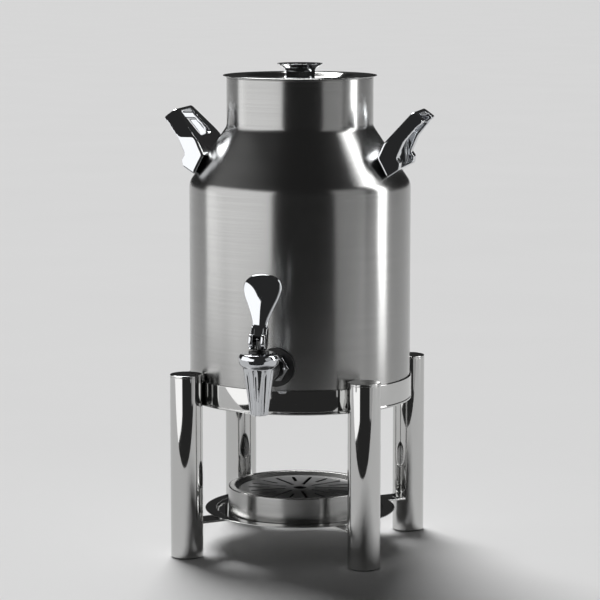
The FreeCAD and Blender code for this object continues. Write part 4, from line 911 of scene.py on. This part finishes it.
WIDE, FRONT_EDGE, ROOM = 60.0, -0.58, 0.03
floor_mesh = bpy.data.meshes.new("floor")
floor_mesh.from_pydata([(-WIDE, FRONT_EDGE, 0), (WIDE, FRONT_EDGE, 0), (WIDE, WIDE, 0), (-WIDE, WIDE, 0)], [],
                       [(0, 1, 2, 3)])
floor_mesh.materials.append(table_material("pale_laminate", "#E2E2E2"))
floor = bpy.data.objects.new("floor", floor_mesh)
bpy.context.scene.collection.objects.link(floor)
world = bpy.data.worlds.new("studio")
bpy.context.scene.world = world
world.use_nodes = True
world.node_tree.nodes["Background"].inputs["Color"].default_value = (ROOM, ROOM, ROOM, 1)
print(f"the table ends {-FRONT_EDGE:.2f} m in front of the urn")

# %% [markdown]
# The light. A broad soft box on the left, a narrow upright one on the right and a weak one between
# them draw the long bright bands on the metal. They show only there: they are hidden from the
# camera, and they don't light matt surfaces, since close lamps would draw bright patches on the
# table. A wide sun from behind on the left lights the table and keeps a soft shadow by the stand.

# %% The lamps
AIM_HEIGHT = 0.28
SUN_ENERGY, SUN_WIDTH, SUN_TILT = 3.4, math.radians(32), (math.radians(-34), math.radians(-20), 0)


def soft_box(name, turn, distance, height, wide, tall, power):
    """An area lamp that faces the can. turn is its bearing in degrees from the camera's side."""
    lamp = bpy.data.lights.new(name, "AREA")
    lamp.shape = "RECTANGLE"
    lamp.size, lamp.size_y, lamp.energy = wide, tall, power
    holder = bpy.data.objects.new(name, lamp)
    bearing = CAMERA_TURN + math.radians(turn)
    holder.location = (distance * math.sin(bearing), -distance * math.cos(bearing), height)
    aim = Vector((0, 0, AIM_HEIGHT)) - holder.location
    holder.rotation_euler = aim.to_track_quat("-Z", "Y").to_euler()
    holder.visible_camera = False
    holder.visible_diffuse = False
    bpy.context.scene.collection.objects.link(holder)


soft_box("left_box", turn=-69, distance=1.5, height=0.50, wide=2.7, tall=1.3, power=17)
soft_box("right_strip", turn=92, distance=1.5, height=0.95, wide=0.35, tall=2.0, power=14)
soft_box("right_fill", turn=52, distance=1.6, height=0.60, wide=1.0, tall=1.4, power=2)
sky = bpy.data.lights.new("sky", "SUN")
sky.energy, sky.angle = SUN_ENERGY, SUN_WIDTH
sky_holder = bpy.data.objects.new("sky", sky)
sky_holder.rotation_euler = SUN_TILT
bpy.context.scene.collection.objects.link(sky_holder)
bpy.context.scene.view_settings.view_transform = "Standard"
print(f"{len(bpy.data.lights)} lamps")
